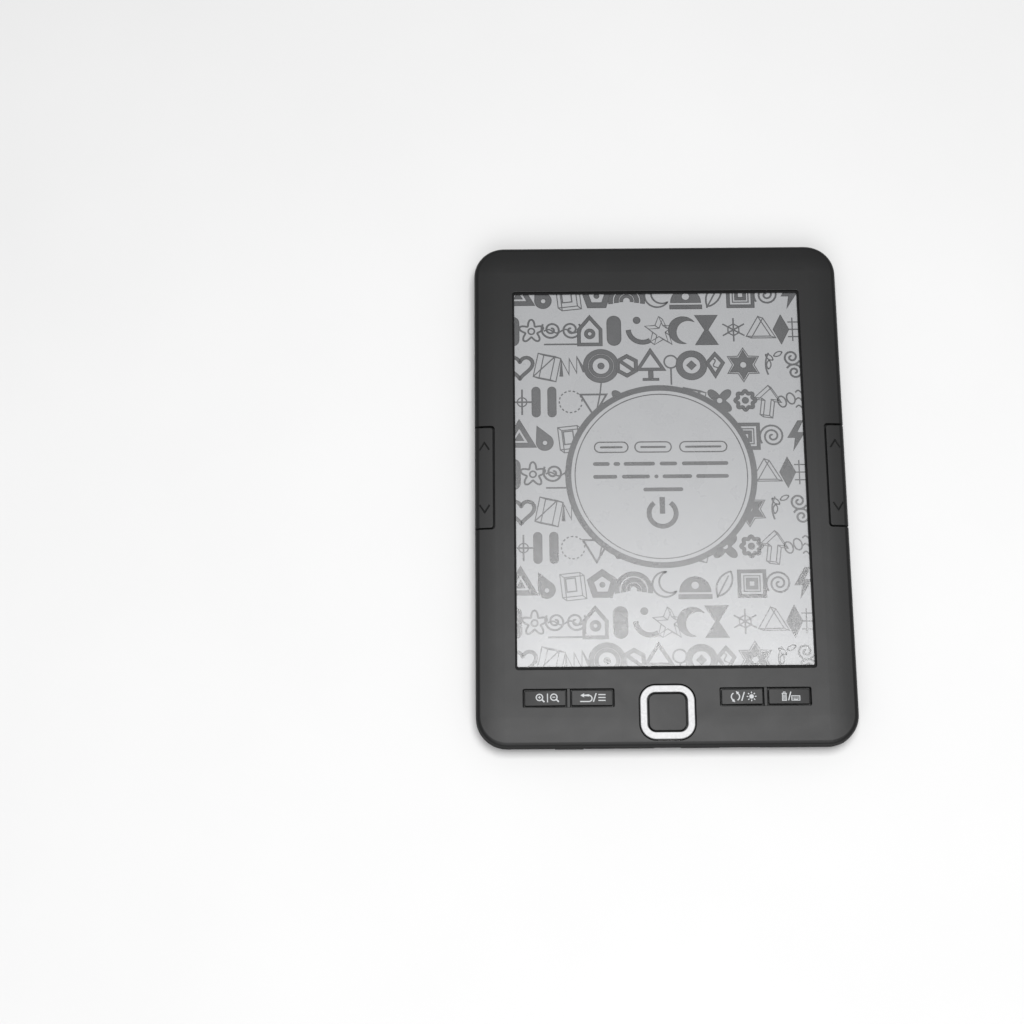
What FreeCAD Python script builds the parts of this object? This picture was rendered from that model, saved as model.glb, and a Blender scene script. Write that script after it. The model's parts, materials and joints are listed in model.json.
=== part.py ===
"""Six-inch e-paper reader: two snapped plastic shells round a carrier frame, an e-paper panel with a
front light, two circuit boards, a pouch battery and ten sprung keys.

Frame: millimetres, +Z out of the screen, +Y to the top of the page, +X to the reader's right. The reader
lies on its back, and the origin is the centre of its box at the table. Every piece is written to
parts/NAME.step."""

import FreeCAD
import Part
import math
import os

V = FreeCAD.Vector

# ---- driving dimensions -------------------------------------------------------------------------
BODY_W = 117.0  # across the page
BODY_H = 164.4  # along the page
BODY_T = 9.0  # back face to front face
CORNER_R = 9.6  # plan corners
PARTING_Z = 5.2  # the shells meet here
WALL = 1.5  # side walls
SKIN = 1.2  # front face
FLOOR = 1.2  # back face
SHELL_GAP = 0.12  # the line that shows between the shells

EDGE_R = 1.6  # the tight roll at the front edge
CROWN_DEG = 6.0  # where the roll hands over to the shallow crown
CROWN_REACH = 9.0  # how far in from the edge the crown flattens out
BACK_REACH = 7.5  # the back's elliptical edge, across

PANEL_W, PANEL_H = 90.6, 122.4  # the standard six-inch e-paper picture area
PANEL_Y = 4.3  # its centre
GLASS_W, GLASS_H = PANEL_W + 11.2, PANEL_H + 16.0  # the panel's glass, with the driver ledge at the top
GLASS_Y0 = PANEL_Y - PANEL_H / 2 - 4.5
GLASS_Y1 = GLASS_Y0 + GLASS_H
WINDOW_W, WINDOW_H, WINDOW_R = 92.4, 124.8, 0.9  # the hole in the front face
WINDOW_DY = -0.2
STEP_W, STEP_H, STEP_DY = 102.0, 135.0, 1.6  # the thinned face round it
MASK_W, MASK_H = 91.3, 123.1  # what the black border leaves clear
LAYER_W, LAYER_H = 99.0, 131.0  # the border sheet's and the light guide's outside
FILM_W, FILM_H = 94.2, 126.2

KEY_ROW_Y = -67.2  # the four small keys
KEY_PAIR_X = 30.1  # the middle of each pair
KEY_PAIR_W, KEY_PAIR_H = 27.9, 5.7  # the hole for a pair
KEY_RIB = 0.8  # what divides a pair
RIB_DROP = 0.2  # its top lies this far below the face
KEY_GAP = 0.5
KEY_CROWN_R = 160.0  # a pair's shared crown
KEY_PROUD = 0.12  # how far the crown's top stands over the face

NAV_Y = -71.8
RING_W, RING_R = 16.7, 4.8  # the silver direction ring
RING_IN, RING_IN_R = 12.3, 2.6
RING_GAP = 0.44
RING_PROUD = 0.28
NAV_W, NAV_R = 11.5, 2.2  # the confirm key inside it

SIDE_Y = 3.75  # the page-turn rockers, one on each long edge
SIDE_LEN = 34.3
SIDE_IN = 52.15  # their inner edge
SIDE_FOOT_Z = 5.65  # how far they reach down the side
SIDE_GAP = 0.55
SIDE_CEILING = 7.85  # they are hollow up to here
PIN_Z = 7.0  # their pivot
PIN_R = 0.45
RUNNING = 0.03  # radial clearance of a pin in its hole

# ---- heights of the stack, from the back face ---------------------------------------------------
CEILING = BODY_T - SKIN
RIM_Z = 8.2  # the front face is thinned to here round the window
MASK_Z = (8.10, 8.18)
GUIDE_Z = (7.74, 8.08)
FILM_Z = (7.39, 7.66)
GLASS_Z = (6.85, 7.38)
FRAME_Z = (6.15, 6.75)
KEY_BOARD_Z = (5.30, 6.30)
MAIN_BOARD_Z = (4.70, 5.50)
TAPE_Z = (6.76, 6.84)
BATTERY_Z = (1.36, 4.36)
BATTERY_W, BATTERY_L, BATTERY_Y = 58.0, 66.0, -15.5
DOME_H = 0.33

HALF_W, HALF_H = BODY_W / 2, BODY_H / 2
BOTTOM_Y = -HALF_H
EDGE_TOL = 1e-4


# ---- plain helpers ------------------------------------------------------------------------------
def box(x, y, z):
    """A block between three pairs of limits."""
    return Part.makeBox(x[1] - x[0], y[1] - y[0], z[1] - z[0], V(x[0], y[0], z[0]))


def span(centre, length):
    return (centre - length / 2, centre + length / 2)


def rounded(w, h, r, z, cx=0.0, cy=0.0):
    """An upright block with round corners in plan."""
    x0, x1 = span(cx, w)
    y0, y1 = span(cy, h)
    k = r * (1 - math.sqrt(0.5))
    pts = [V(x0 + r, y0, z[0]), V(x1 - r, y0, z[0]), V(x1 - k, y0 + k, z[0]), V(x1, y0 + r, z[0]),
           V(x1, y1 - r, z[0]), V(x1 - k, y1 - k, z[0]), V(x1 - r, y1, z[0]), V(x0 + r, y1, z[0]),
           V(x0 + k, y1 - k, z[0]), V(x0, y1 - r, z[0]), V(x0, y0 + r, z[0]), V(x0 + k, y0 + k, z[0])]
    edges = []
    for i in range(0, 12, 3):
        edges.append(Part.makeLine(pts[i], pts[i + 1]))
        edges.append(Part.Arc(pts[i + 1], pts[i + 2], pts[(i + 3) % 12]).toShape())
    return Part.Face(Part.Wire(edges)).extrude(V(0, 0, z[1] - z[0]))


def post(r, z, x, y):
    return Part.makeCylinder(r, z[1] - z[0], V(x, y, z[0]))


def rod_x(r, x, y, z):
    return Part.makeCylinder(r, x[1] - x[0], V(x[0], y, z), V(1, 0, 0))


def rod_y(r, x, y, z):
    return Part.makeCylinder(r, y[1] - y[0], V(x, y[0], z), V(0, 1, 0))


def level_edges(shape, z):
    """The edges that lie flat at one height."""
    return [e for e in shape.Edges
            if abs(e.BoundBox.ZMin - z) < EDGE_TOL and abs(e.BoundBox.ZMax - z) < EDGE_TOL]


def soften(shape, r, z):
    return shape.makeFillet(r, level_edges(shape, z))


def bevel(shape, c, z):
    return shape.makeChamfer(c, level_edges(shape, z))


def fuse(first, *others):
    return first.fuse(list(others)).removeSplitter()


def cut(first, *others):
    return first.cut(list(others))


def arc(a, b, c):
    return Part.Arc(a, b, c).toShape()


def ribbon(route, bend, thickness, x):
    """A flat cable: a strip of one thickness along (y, z) points with round bends, across x."""
    left, right = [], []
    pts = [V(0, *p) for p in route]
    for i in range(1, len(pts) - 1):
        a, b = (pts[i] - pts[i - 1]), (pts[i + 1] - pts[i])
        a.normalize()
        b.normalize()
        turn = a.getAngle(b)
        sign = 1 if a.cross(b).x > 0 else -1
        reach = bend * math.tan(turn / 2)
        start, end = pts[i] - a * reach, pts[i] + b * reach
        side = V(1, 0, 0).cross(a) * sign
        centre = start + side * bend
        middle = (pts[i] - centre)
        middle.normalize()
        for out, edge in ((thickness / 2, left), (-thickness / 2, right)):
            radius = bend - sign * out
            edge.append([centre + (start - centre).normalize() * radius, centre + middle * radius,
                         centre + (end - centre).normalize() * radius])
    first, last = pts[1] - pts[0], pts[-1] - pts[-2]
    first.normalize()
    last.normalize()
    edges = []
    rails = []
    for out, bends in ((thickness / 2, left), (-thickness / 2, right)):
        here = pts[0] + V(1, 0, 0).cross(first) * out
        rail = [here]
        for s, m, e in bends:
            edges += [Part.makeLine(here, s), arc(s, m, e)]
            here = e
        end = pts[-1] + V(1, 0, 0).cross(last) * out
        edges.append(Part.makeLine(here, end))
        rails.append((rail[0], end))
    edges.append(Part.makeLine(rails[0][0], rails[1][0]))
    edges.append(Part.makeLine(rails[0][1], rails[1][1]))
    face = Part.Face(Part.Wire(Part.__sortEdges__(edges)))
    strip = face.extrude(V(x[1] - x[0], 0, 0))
    strip.translate(V(x[0], 0, 0))
    return strip


def dome(x, y, z, r=1.9, h=DOME_H, t=0.1):
    """A snap dome: a shallow spring-steel cap."""
    big = (r * r + h * h) / (2 * h)
    outer = Part.makeSphere(big, V(x, y, z + h - big))
    small_h = h - t
    inner_r = (r * r + small_h * small_h) / (2 * small_h)
    inner = Part.makeSphere(inner_r, V(x, y, z + small_h - inner_r))
    return outer.cut(inner).common(post(r, (z, z + 1), x, y))


def screw(x, y, head_z, tip_z, head_r=1.4, shank_r=0.7, head_h=0.55):
    """A pan-head screw driven upwards, with a cross recess."""
    body = post(shank_r, (head_z, tip_z - 0.3), x, y)
    tip = Part.makeCone(shank_r, 0.15, 0.3, V(x, y, tip_z - 0.3))
    head = post(head_r, (head_z - head_h, head_z), x, y)
    head = soften(head, 0.2, head_z - head_h)
    low = (head_z - head_h - 0.1, head_z - head_h + 0.3)
    cross = fuse(box(span(x, 1.5), span(y, 0.32), low), box(span(x, 0.32), span(y, 1.5), low))
    return fuse(head, body, tip).cut(cross)


def save(name, shape):
    """Writes one piece, after checking that it is made of closed solids."""
    solids = shape.Solids
    good = all(s.isValid() and s.Volume > 0 for s in solids) and bool(solids)
    clean = solids[0] if len(solids) == 1 else Part.makeCompound(solids)
    clean.exportStep(f"parts/{name}.step")
    print(f"{name:20s} solids {len(solids):2d} volume {sum(s.Volume for s in solids):10.2f}"
          f" {'ok' if good else 'BAD'}")


# ---- the outer form -----------------------------------------------------------------------------
def wrapped(edges, reach):
    """Carries an edge profile right round the body and fills the middle. The profile is in (in, z)."""
    side = Part.Face(Part.Wire(Part.__sortEdges__(edges)))
    core_w, core_h = BODY_W - 2 * CORNER_R, BODY_H - 2 * CORNER_R
    low, high = side.BoundBox.ZMin, side.BoundBox.ZMax
    middle = box(span(0, BODY_W - 2 * reach), span(0, BODY_H - 2 * reach), (low, high))
    pieces = [middle]
    for turn, along, across in ((0, core_h, HALF_W), (90, core_w, HALF_H),
                                (180, core_h, HALF_W), (270, core_w, HALF_H)):
        strip = side.copy()
        strip.translate(V(across, -along / 2, 0))
        strip = strip.extrude(V(0, along, 0))
        corner = side.copy()
        corner.translate(V(across, along / 2, 0))
        corner = corner.revolve(V(across - CORNER_R, along / 2, 0), V(0, 0, 1), 90)
        for piece in (strip, corner):
            piece.rotate(V(0, 0, 0), V(0, 0, 1), turn)
            pieces.append(piece)
    return fuse(*pieces)


def front_form():
    """The front's outside: an upright wall, a tight roll, then a shallow crown to the flat face."""
    slope = math.radians(CROWN_DEG)
    roll_in = EDGE_R * (1 - math.sin(slope))
    crown_r = (CROWN_REACH - roll_in) / math.sin(slope)
    roll_top = BODY_T - crown_r * (1 - math.cos(slope))
    wall_top = roll_top - EDGE_R * math.cos(slope)
    foot, shoulder = V(0, 0, PARTING_Z), V(0, 0, wall_top)
    roll_end, crown_end = V(-roll_in, 0, roll_top), V(-CROWN_REACH, 0, BODY_T)
    half_roll = (math.pi / 2 - slope) / 2
    roll_mid = V(-EDGE_R + EDGE_R * math.cos(half_roll), 0, wall_top + EDGE_R * math.sin(half_roll))
    crown_mid = V(-CROWN_REACH + crown_r * math.sin(slope / 2), 0,
                  BODY_T - crown_r * (1 - math.cos(slope / 2)))
    inner_foot = V(-CROWN_REACH, 0, PARTING_Z)
    edges = [Part.makeLine(foot, shoulder), arc(shoulder, roll_mid, roll_end),
             arc(roll_end, crown_mid, crown_end), Part.makeLine(crown_end, inner_foot),
             Part.makeLine(inner_foot, foot)]
    return wrapped(edges, CROWN_REACH)


def ellipse_quarter(inset, low, high, reach):
    """A quarter ellipse from the wall down to the floor, in (in, z)."""
    centre = V(-inset - reach, 0, high)
    depth = high - low
    if reach >= depth:
        curve = Part.Ellipse(centre + V(reach, 0, 0), centre - V(0, 0, depth), centre)
    else:
        curve = Part.Ellipse(centre - V(0, 0, depth), centre + V(reach, 0, 0), centre)
    first = curve.parameter(centre + V(reach, 0, 0))
    second = curve.parameter(centre - V(0, 0, depth))
    if abs(second - first) > math.pi:
        first += 2 * math.pi if first < second else 0
        second += 2 * math.pi if second < first else 0
    return Part.Edge(curve, min(first, second), max(first, second))


def back_form(inset=0.0, low=0.0, high=PARTING_Z - SHELL_GAP, reach=BACK_REACH):
    """The back's outside, or with an inset its inside: an elliptical edge down to a flat face."""
    far = CROWN_REACH
    curve = ellipse_quarter(inset, low, high, reach)
    top, foot = V(-inset, 0, high), V(-inset - reach, 0, low)
    edges = [curve, Part.makeLine(foot, V(-far, 0, low)), Part.makeLine(V(-far, 0, low), V(-far, 0, high)),
             Part.makeLine(V(-far, 0, high), top)]
    return wrapped(edges, far)


def plan(inset, z):
    """The body's outline, inset, as an upright block."""
    return rounded(BODY_W - 2 * inset, BODY_H - 2 * inset, CORNER_R - inset, z)


FRONT = front_form()
FRONT_SKIRTED = fuse(FRONT, plan(0.0, (PARTING_Z - 1, PARTING_Z + 0.01)))


# ---- where things sit in the shells -------------------------------------------------------------
KEY_XS = {"key_zoom": (-1, -1), "key_back": (-1, 1), "key_light": (1, -1), "key_delete": (1, 1)}
KEY_LEN = (KEY_PAIR_W - KEY_RIB) / 2
CARRIER_SCREWS = [(sx * 54.2, y) for sx in (-1, 1) for y in (69.0, 36.0, -27.0, -54.0)]
KEY_BOARD_SCREWS = [(sx * x, y) for sx in (-1, 1) for x, y in ((48.6, -71.0), (12.4, -76.2))]
HOOKS_LONG = (56.0, -40.0)  # along the long edges
HOOKS_SHORT = (-34.0, 0.0, 34.0)  # along the top edge
HOOK_W = 6.0
HOOK_Z = (5.95, 6.45)
HOOK_REACH = 1.0  # how far in from the wall a hook's stem stands

USB_X, USB_Z, USB_W, USB_D = 0.0, (2.67, 5.27), 7.5, 5.6
SD_X, SD_Z, SD_W, SD_D = 22.0, (3.62, 5.26), 14.0, 14.6
SD_SLOT_W = 11.8
POWER_X, POWER_Z, POWER_W = -30.0, (3.3, 5.0), 9.0
RESET_X, RESET_Z, RESET_R = -19.0, 4.1, 0.6
LINK_X = 37.0  # the cable between the boards

NOTCH_R = 1.2
EDGE_SOFT = 0.16  # the softened edges of the openings


# ---- shells -------------------------------------------------------------------------------------
def key_centre(name):
    side, place = KEY_XS[name]
    return side * KEY_PAIR_X + place * (KEY_LEN + KEY_RIB) / 2


def upright_edges(block, x):
    """A block's vertical edges at one distance from the middle."""
    return [e for e in block.Edges
            if e.BoundBox.ZLength > EDGE_TOL and e.BoundBox.XLength < EDGE_TOL
            and e.BoundBox.YLength < EDGE_TOL and abs(abs(e.BoundBox.XMin) - x) < 10 * EDGE_TOL]


def side_notch(sign, gap, foot):
    """The space for a rocker in the front shell, or with a gap the block that the rocker is cut from."""
    x = sorted((sign * (SIDE_IN + gap), sign * (HALF_W + 2)))
    block = box(x, span(SIDE_Y, SIDE_LEN - 2 * gap), (foot, BODY_T + 2))
    return block.makeFillet(NOTCH_R - gap / 2, upright_edges(block, SIDE_IN + gap))


def hook_places():
    """Where the back cover's snap hooks stand: a point on the inner wall and the way out."""
    places = [(sx * (HALF_W - WALL), y, sx, 0) for sx in (-1, 1) for y in HOOKS_LONG]
    places += [(x, HALF_H - WALL, 0, 1) for x in HOOKS_SHORT]
    return places


def hook_block(place, start, end, z, width=HOOK_W):
    """A block on the way out at one hook, from start to end mm inside the wall's inner face."""
    x, y, ox, oy = place
    if ox:
        return box(sorted((x - ox * start, x - ox * end)), span(y, width), z)
    return box(span(x, width), sorted((y - oy * start, y - oy * end)), z)


def soften_openings(shell):
    """Takes the sharpness off the front face's edges round the window and the small keys."""
    edges = []
    for e in level_edges(shell, BODY_T):
        b = e.BoundBox
        window = abs(b.Center.x) < 47 and abs(b.Center.y - PANEL_Y) < 64
        keys = abs(abs(b.Center.x) - KEY_PAIR_X) < 15 and abs(b.Center.y - KEY_ROW_Y) < 3.5
        if window or keys:
            edges.append(e)
    return shell.makeFillet(EDGE_SOFT, edges)


def front_shell():
    cavity = soften(plan(WALL, (PARTING_Z - 1, CEILING)), 1.5, CEILING)
    rebate = plan(WALL / 2 + 0.05, (PARTING_Z - 1, PARTING_Z + 1.15))
    through = (CEILING - 1, BODY_T + 1)
    window = rounded(WINDOW_W, WINDOW_H, WINDOW_R, through, 0, PANEL_Y + WINDOW_DY)
    step = rounded(STEP_W, STEP_H, 1.0, (CEILING - 1, RIM_Z), 0, PANEL_Y + STEP_DY)
    shell = cut(FRONT, cavity, rebate, window, step)
    for side in (-1, 1):
        x = side * KEY_PAIR_X
        pair = rounded(KEY_PAIR_W, KEY_PAIR_H, 0.5, through, x, KEY_ROW_Y)
        rib = box(span(x, KEY_RIB), span(KEY_ROW_Y, KEY_PAIR_H + 1), (CEILING - 1, BODY_T - RIB_DROP))
        shell = cut(shell, pair.cut(rib))
        shell = cut(shell, side_notch(side, 0.0, PARTING_Z - 1))
    ring_hole = RING_W + 2 * RING_GAP
    shell = cut(shell, rounded(ring_hole, ring_hole, RING_R + RING_GAP, through, 0, NAV_Y))
    shell = soften_openings(shell)
    rocker_room = rounded(20.6, 19.0, 5.0, (CEILING - 1, CEILING + 0.25), 0, NAV_Y + 0.7)
    shell = cut(shell, rocker_room)
    bosses = [post(1.7, (FRAME_Z[1] + 0.05, RIM_Z + 0.1), x, y) for x, y in CARRIER_SCREWS]
    bosses += [post(1.6, (KEY_BOARD_Z[1] + 0.02, CEILING + 0.1), x, y) for x, y in KEY_BOARD_SCREWS]
    shell = fuse(shell, *[b.common(FRONT) for b in bosses])
    holes = [post(0.73, (5, 8.25), x, y) for x, y in CARRIER_SCREWS + KEY_BOARD_SCREWS]
    pockets = [hook_block(p, 0.1, -0.55, (HOOK_Z[0] - 0.1, HOOK_Z[1] + 0.15), HOOK_W + 0.6)
               for p in hook_places()]
    usb = box(span(USB_X, USB_W + 0.7), (BOTTOM_Y - 1, BOTTOM_Y + 4), (PARTING_Z - 1, USB_Z[1] + 0.25))
    return cut(shell, usb, *holes, *pockets)


def battery_bay():
    """Low ribs on the floor round the cell."""
    z = (FLOOR - 0.3, 3.2)
    half = BATTERY_W / 2 + 0.4
    sides = [box(sorted((s * half, s * (half + 0.9))), span(BATTERY_Y, 40.0), z) for s in (-1, 1)]
    foot = BATTERY_Y - BATTERY_L / 2
    ends = [box(span(x, 14.0), (foot - 1.3, foot - 0.4), z) for x in (-16, 16)]
    return sides + ends


def back_cover():
    top = PARTING_Z - SHELL_GAP
    inner = back_form(WALL, FLOOR, top + 0.01, BACK_REACH - 1.0)
    lip = plan(WALL / 2 + 0.15, (top - 0.5, PARTING_Z + 1.0)).cut(plan(WALL - 0.1, (top - 2, PARTING_Z + 2)))
    shell = fuse(back_form().cut(inner), lip)
    for place in hook_places():
        stem = hook_block(place, 0.15, HOOK_REACH, (3.0, HOOK_Z[1]))
        nib = hook_block(place, 0.15, -0.4, HOOK_Z)
        foot = hook_block(place, -0.2, HOOK_REACH, (3.0, PARTING_Z))
        shell = fuse(shell, stem, nib, foot)
    shell = fuse(shell, *battery_bay())
    clear = [box(sorted((s * 55.5, s * 60)), span(SIDE_Y, SIDE_LEN + 0.4), (top, BODY_T)) for s in (-1, 1)]
    reach = (BOTTOM_Y - 1, BOTTOM_Y + 6)
    room = (BOTTOM_Y + 1.3, BOTTOM_Y + 8)
    # the socket mouths and the power button's hole in the bottom wall
    clear.append(box(span(USB_X, USB_W + 0.7), reach, (USB_Z[0] - 0.27, BODY_T)))
    clear.append(box(span(SD_X, SD_SLOT_W + 0.6), reach, (SD_Z[0] - 0.1, BODY_T)))
    clear.append(box(span(POWER_X, POWER_W + 0.5), reach, (POWER_Z[0] - 0.25, PARTING_Z + 0.02)))
    clear.append(rod_y(RESET_R, RESET_X, (BOTTOM_Y - 1, BOTTOM_Y + 3), RESET_Z))
    # the room behind the wall for the card socket, the button's flange, the switches and the board
    clear.append(box(span(SD_X, SD_W + 0.5), room, (SD_Z[0] - 0.2, BODY_T)))
    clear.append(box(span(POWER_X, POWER_W + 2.4), room, (POWER_Z[0] - 0.6, BODY_T)))
    clear.append(box(span(RESET_X, 6.4), room, (2.9, BODY_T)))
    clear.append(box((-51.5, 51.5), (BOTTOM_Y + WALL - 0.1, BOTTOM_Y + 5), (PARTING_Z - 0.15, BODY_T)))
    return cut(shell, *clear)


# ---- display ------------------------------------------------------------------------------------
def display_mask():
    outer = rounded(LAYER_W, LAYER_H, 1.0, MASK_Z, 0, PANEL_Y + 0.4)
    return outer.cut(rounded(MASK_W, MASK_H, 0.4, (8, 9), 0, PANEL_Y))


LIGHT_EDGE_Y = PANEL_Y - 64.2  # the light guide's lit edge


def light_guide():
    return rounded(LAYER_W, LAYER_H, 1.0, GUIDE_Z, 0, LIGHT_EDGE_Y + LAYER_H / 2)


def front_light_leds():
    return Part.makeCompound([box(span(x, 3.0), (LIGHT_EDGE_Y - 0.85, LIGHT_EDGE_Y - 0.1), (7.68, 8.04))
                              for x in (-36, -18, 0, 18, 36)])


def front_light_flex():
    """The strip that carries the lamps, with its tail to the key board."""
    strip = box((-44, 44), (LIGHT_EDGE_Y - 1.5, LIGHT_EDGE_Y - 0.05), (7.52, 7.66))
    y = LIGHT_EDGE_Y - 1.5
    route = [(y + 0.5, 7.59), (y - 0.9, 7.59), (y - 0.9, 6.75), (y - 4.2, 6.75)]
    tail = ribbon(route, 0.3, 0.12, (10.6, 14.2))
    return fuse(strip, tail)


def epaper_film():
    return rounded(FILM_W, FILM_H, 0.5, FILM_Z, 0, PANEL_Y)


def display_glass():
    return box(span(0, GLASS_W), (GLASS_Y0, GLASS_Y1), GLASS_Z)


def display_drivers():
    z = (GLASS_Z[1], GLASS_Z[1] + 0.4)
    source = [box(span(x, 22.0), (GLASS_Y1 - 5.4, GLASS_Y1 - 3.9), z) for x in (-20, 20)]
    gate = box((48.3, 49.7), span(PANEL_Y, 20.0), (GLASS_Z[1], GLASS_Z[1] + 0.3))
    return Part.makeCompound(source + [gate])


def display_flex():
    route = [(GLASS_Y1 - 2.6, 7.45), (GLASS_Y1 + 1.6, 7.45), (GLASS_Y1 + 1.6, 4.2), (71.0, 4.2)]
    return ribbon(route, 0.7, 0.12, (-17, 17))


def panel_tape():
    """Thin double-sided tape that holds the glass to the tray."""
    outer = box(span(0, GLASS_W - 1.0), (GLASS_Y0 + 0.5, GLASS_Y1 - 0.5), TAPE_Z)
    return outer.cut(box(span(0, GLASS_W - 9.0), (GLASS_Y0 + 4.5, GLASS_Y1 - 4.5), (6, 8)))


def carrier_frame():
    """The black aluminium tray that the panel lies on, with standoffs for the main board."""
    plate = box((-50.9, 50.9), (GLASS_Y0 - 0.3, GLASS_Y1 + 0.5), FRAME_Z)
    for sign in (-1, 1):
        wing = box(sorted((sign * 50.0, sign * 55.9)), (-57.0, 72.0), FRAME_Z)
        ears = [box(sorted((sign * a, sign * b)), span(SIDE_Y, 2.6), (FRAME_Z[0], SIDE_CEILING - 0.2))
                for a, b in ((52.95, 53.75), (55.35, 56.15))]
        plate = fuse(plate, wing, *ears)
    for sign in (-1, 1):
        slot = box(sorted((sign * 53.75, sign * 55.35)), span(SIDE_Y, 2.6), (5, 7))
        axle = rod_x(PIN_R + 0.01, sorted((sign * 52.9, sign * 56.2)), SIDE_Y, PIN_Z)
        flex_way = box(sorted((sign * 51.9, sign * 55.7)), (22.6, 25.0), (5, 8))
        plate = cut(plate, slot, axle, flex_way)
    hooks = [hook_block(p, 0.0, HOOK_REACH + 0.5, (5, 8), HOOK_W + 1.0) for p in hook_places()]
    standoffs = [post(1.9, (MAIN_BOARD_Z[1] + 0.02, FRAME_Z[0] + 0.1), x, y) for x, y in MAIN_SCREWS]
    plate = fuse(plate, *standoffs)
    holes = [post(0.8, (5, 8), x, y) for x, y in CARRIER_SCREWS]
    threads = [post(0.73, (5, 8), x, y) for x, y in MAIN_SCREWS]
    lightening = [rounded(28, 44, 4, (5, 8), sx * 24, -20) for sx in (-1, 1)]
    return cut(plate, *holes, *threads, *lightening, *hooks)


MAIN_SCREWS = [(sx * 46.0, y) for sx in (-1, 1) for y in (30.5, 72.0)]


def carrier_screws():
    return Part.makeCompound([screw(x, y, FRAME_Z[0] - 0.02, 8.15) for x, y in CARRIER_SCREWS])


def side_pivot_pins():
    return Part.makeCompound([rod_x(PIN_R, sorted((s * 53.0, s * 56.1)), SIDE_Y, PIN_Z) for s in (-1, 1)])


# ---- boards -------------------------------------------------------------------------------------
BOARD_Y = (26.0, 76.2)


def main_board():
    board = box((-50.0, 50.0), BOARD_Y, MAIN_BOARD_Z)
    ears = [box(sorted((s * 49.0, s * 55.8)), (26.0, 32.4), MAIN_BOARD_Z) for s in (-1, 1)]
    bay = box((-14.0, 14.0), (25.0, 30.0), (4, 6))
    holes = [post(0.8, (4, 6), x, y) for x, y in MAIN_SCREWS]
    return cut(fuse(board, *ears), bay, *holes)


def under(board_z, height):
    """The height range of a part soldered under a board."""
    return (board_z[0] - height, board_z[0])


def processor_shield():
    z = under(MAIN_BOARD_Z, 1.5)
    return bevel(rounded(30.0, 24.0, 1.0, z, -18.0, 52.0), 0.25, z[0])


def board_chips():
    z = under(MAIN_BOARD_Z, 0.9)
    chips = [box(span(x, w), span(y, h), z) for x, y, w, h in (
        (12.0, 56.0, 11.5, 13.0), (27.0, 56.0, 9.0, 9.0), (12.0, 41.0, 6.0, 6.0), (24.0, 42.0, 4.6, 4.6))]
    low = under(MAIN_BOARD_Z, 0.5)
    chips += [box(span(33.0 + 2.6 * i, 1.0), span(45.0 + 3.0 * j, 0.55), low)
              for i in range(4) for j in range(5)]
    coils = [post(1.9, under(MAIN_BOARD_Z, 1.3), x, 36.0) for x in (16.0, 22.0)]
    return Part.makeCompound(chips + coils)


def board_connectors():
    """Flat-cable sockets on both boards and the battery's socket."""
    screen = box((-19, 19), (66.2, 71.2), (3.65, 4.7))
    link_main = box(span(LINK_X, 14.0), (29.0, 33.5), (3.7, 4.7))
    link_key = box(span(LINK_X, 14.0), (-70.0, -65.5), (4.3, 5.3))
    light = box(span(12.4, 5.4), (-67.8, -65.0), (6.3, 7.1))
    sides = [box(sorted((s * 52.0, s * 55.6)), (28.4, 31.6), (5.5, 6.1)) for s in (-1, 1)]
    return Part.makeCompound([screen.cut(box((-17.2, 17.2), (70, 72), (4.05, 4.35))),
                              link_main.cut(box(span(LINK_X, 12.4), (28, 30), (4.0, 4.3))),
                              link_key.cut(box(span(LINK_X, 12.4), (-66.5, -65), (4.55, 4.85))),
                              light.cut(box(span(12.4, 4.0), (-66, -64), (6.6, 6.9)))]
                             + [s.cut(box((-55.4, 55.4), (28, 29.2), (5.65, 5.95))) for s in sides])


def battery_connector():
    return box(span(0, 6.0), (34.2, 38.0), (3.2, 4.7))


def main_board_screws():
    return Part.makeCompound([screw(x, y, MAIN_BOARD_Z[0] - 0.02, 6.7) for x, y in MAIN_SCREWS])


def battery_cell():
    cell = rounded(BATTERY_W, BATTERY_L, 1.2, BATTERY_Z, 0, BATTERY_Y)
    return soften(soften(cell, 0.9, BATTERY_Z[0]), 0.9, BATTERY_Z[1])


def battery_tape():
    return Part.makeCompound([box(span(x, 12.0), span(BATTERY_Y, 58.0), (FLOOR + 0.01, BATTERY_Z[0] - 0.02))
                              for x in (-18, 18)])


def battery_circuit():
    return soften(box(span(0, 44.0), (17.9, 22.2), (1.7, 3.6)), 0.3, 3.6)


def lead(x):
    """One insulated battery lead: up from the circuit strip and into the socket."""
    r = 0.45
    z_low, z_high = 2.65, 3.95
    bend = 1.0
    rise = z_high - z_low
    y0, y1 = 22.2, 34.2
    ya = 25.0
    # a shallow S made of two equal arcs
    run = math.sqrt(4 * bend * rise - rise * rise)
    mid = V(x, ya + run / 2, z_low + rise / 2)
    half = math.atan2(rise / 2, run / 2)
    c1, c2 = V(x, ya, z_low + bend), V(x, ya + run, z_high - bend)
    m1 = c1 + V(0, bend * math.sin(half), -bend * math.cos(half))
    m2 = c2 + V(0, -bend * math.sin(half), bend * math.cos(half))
    bottom, top = V(x, ya, z_low), V(x, ya + run, z_high)
    path = Part.Wire([Part.makeLine(V(x, y0, z_low), bottom), arc(bottom, m1, mid),
                      arc(mid, m2, top), Part.makeLine(top, V(x, y1, z_high))])
    ring = Part.Wire([Part.makeCircle(r, V(x, y0, z_low), V(0, 1, 0))])
    return path.makePipeShell([ring], True, True)


def key_board():
    board = box((-51.0, 51.0), (BOTTOM_Y + 2.0, GLASS_Y0 - 1.2), KEY_BOARD_Z)
    holes = [post(0.8, (5, 7), x, y) for x, y in KEY_BOARD_SCREWS]
    usb_bay = box(span(USB_X, USB_W + 1.0), (BOTTOM_Y, BOTTOM_Y + 2.4), (5, 7))
    return cut(board, usb_bay, *holes)


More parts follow.
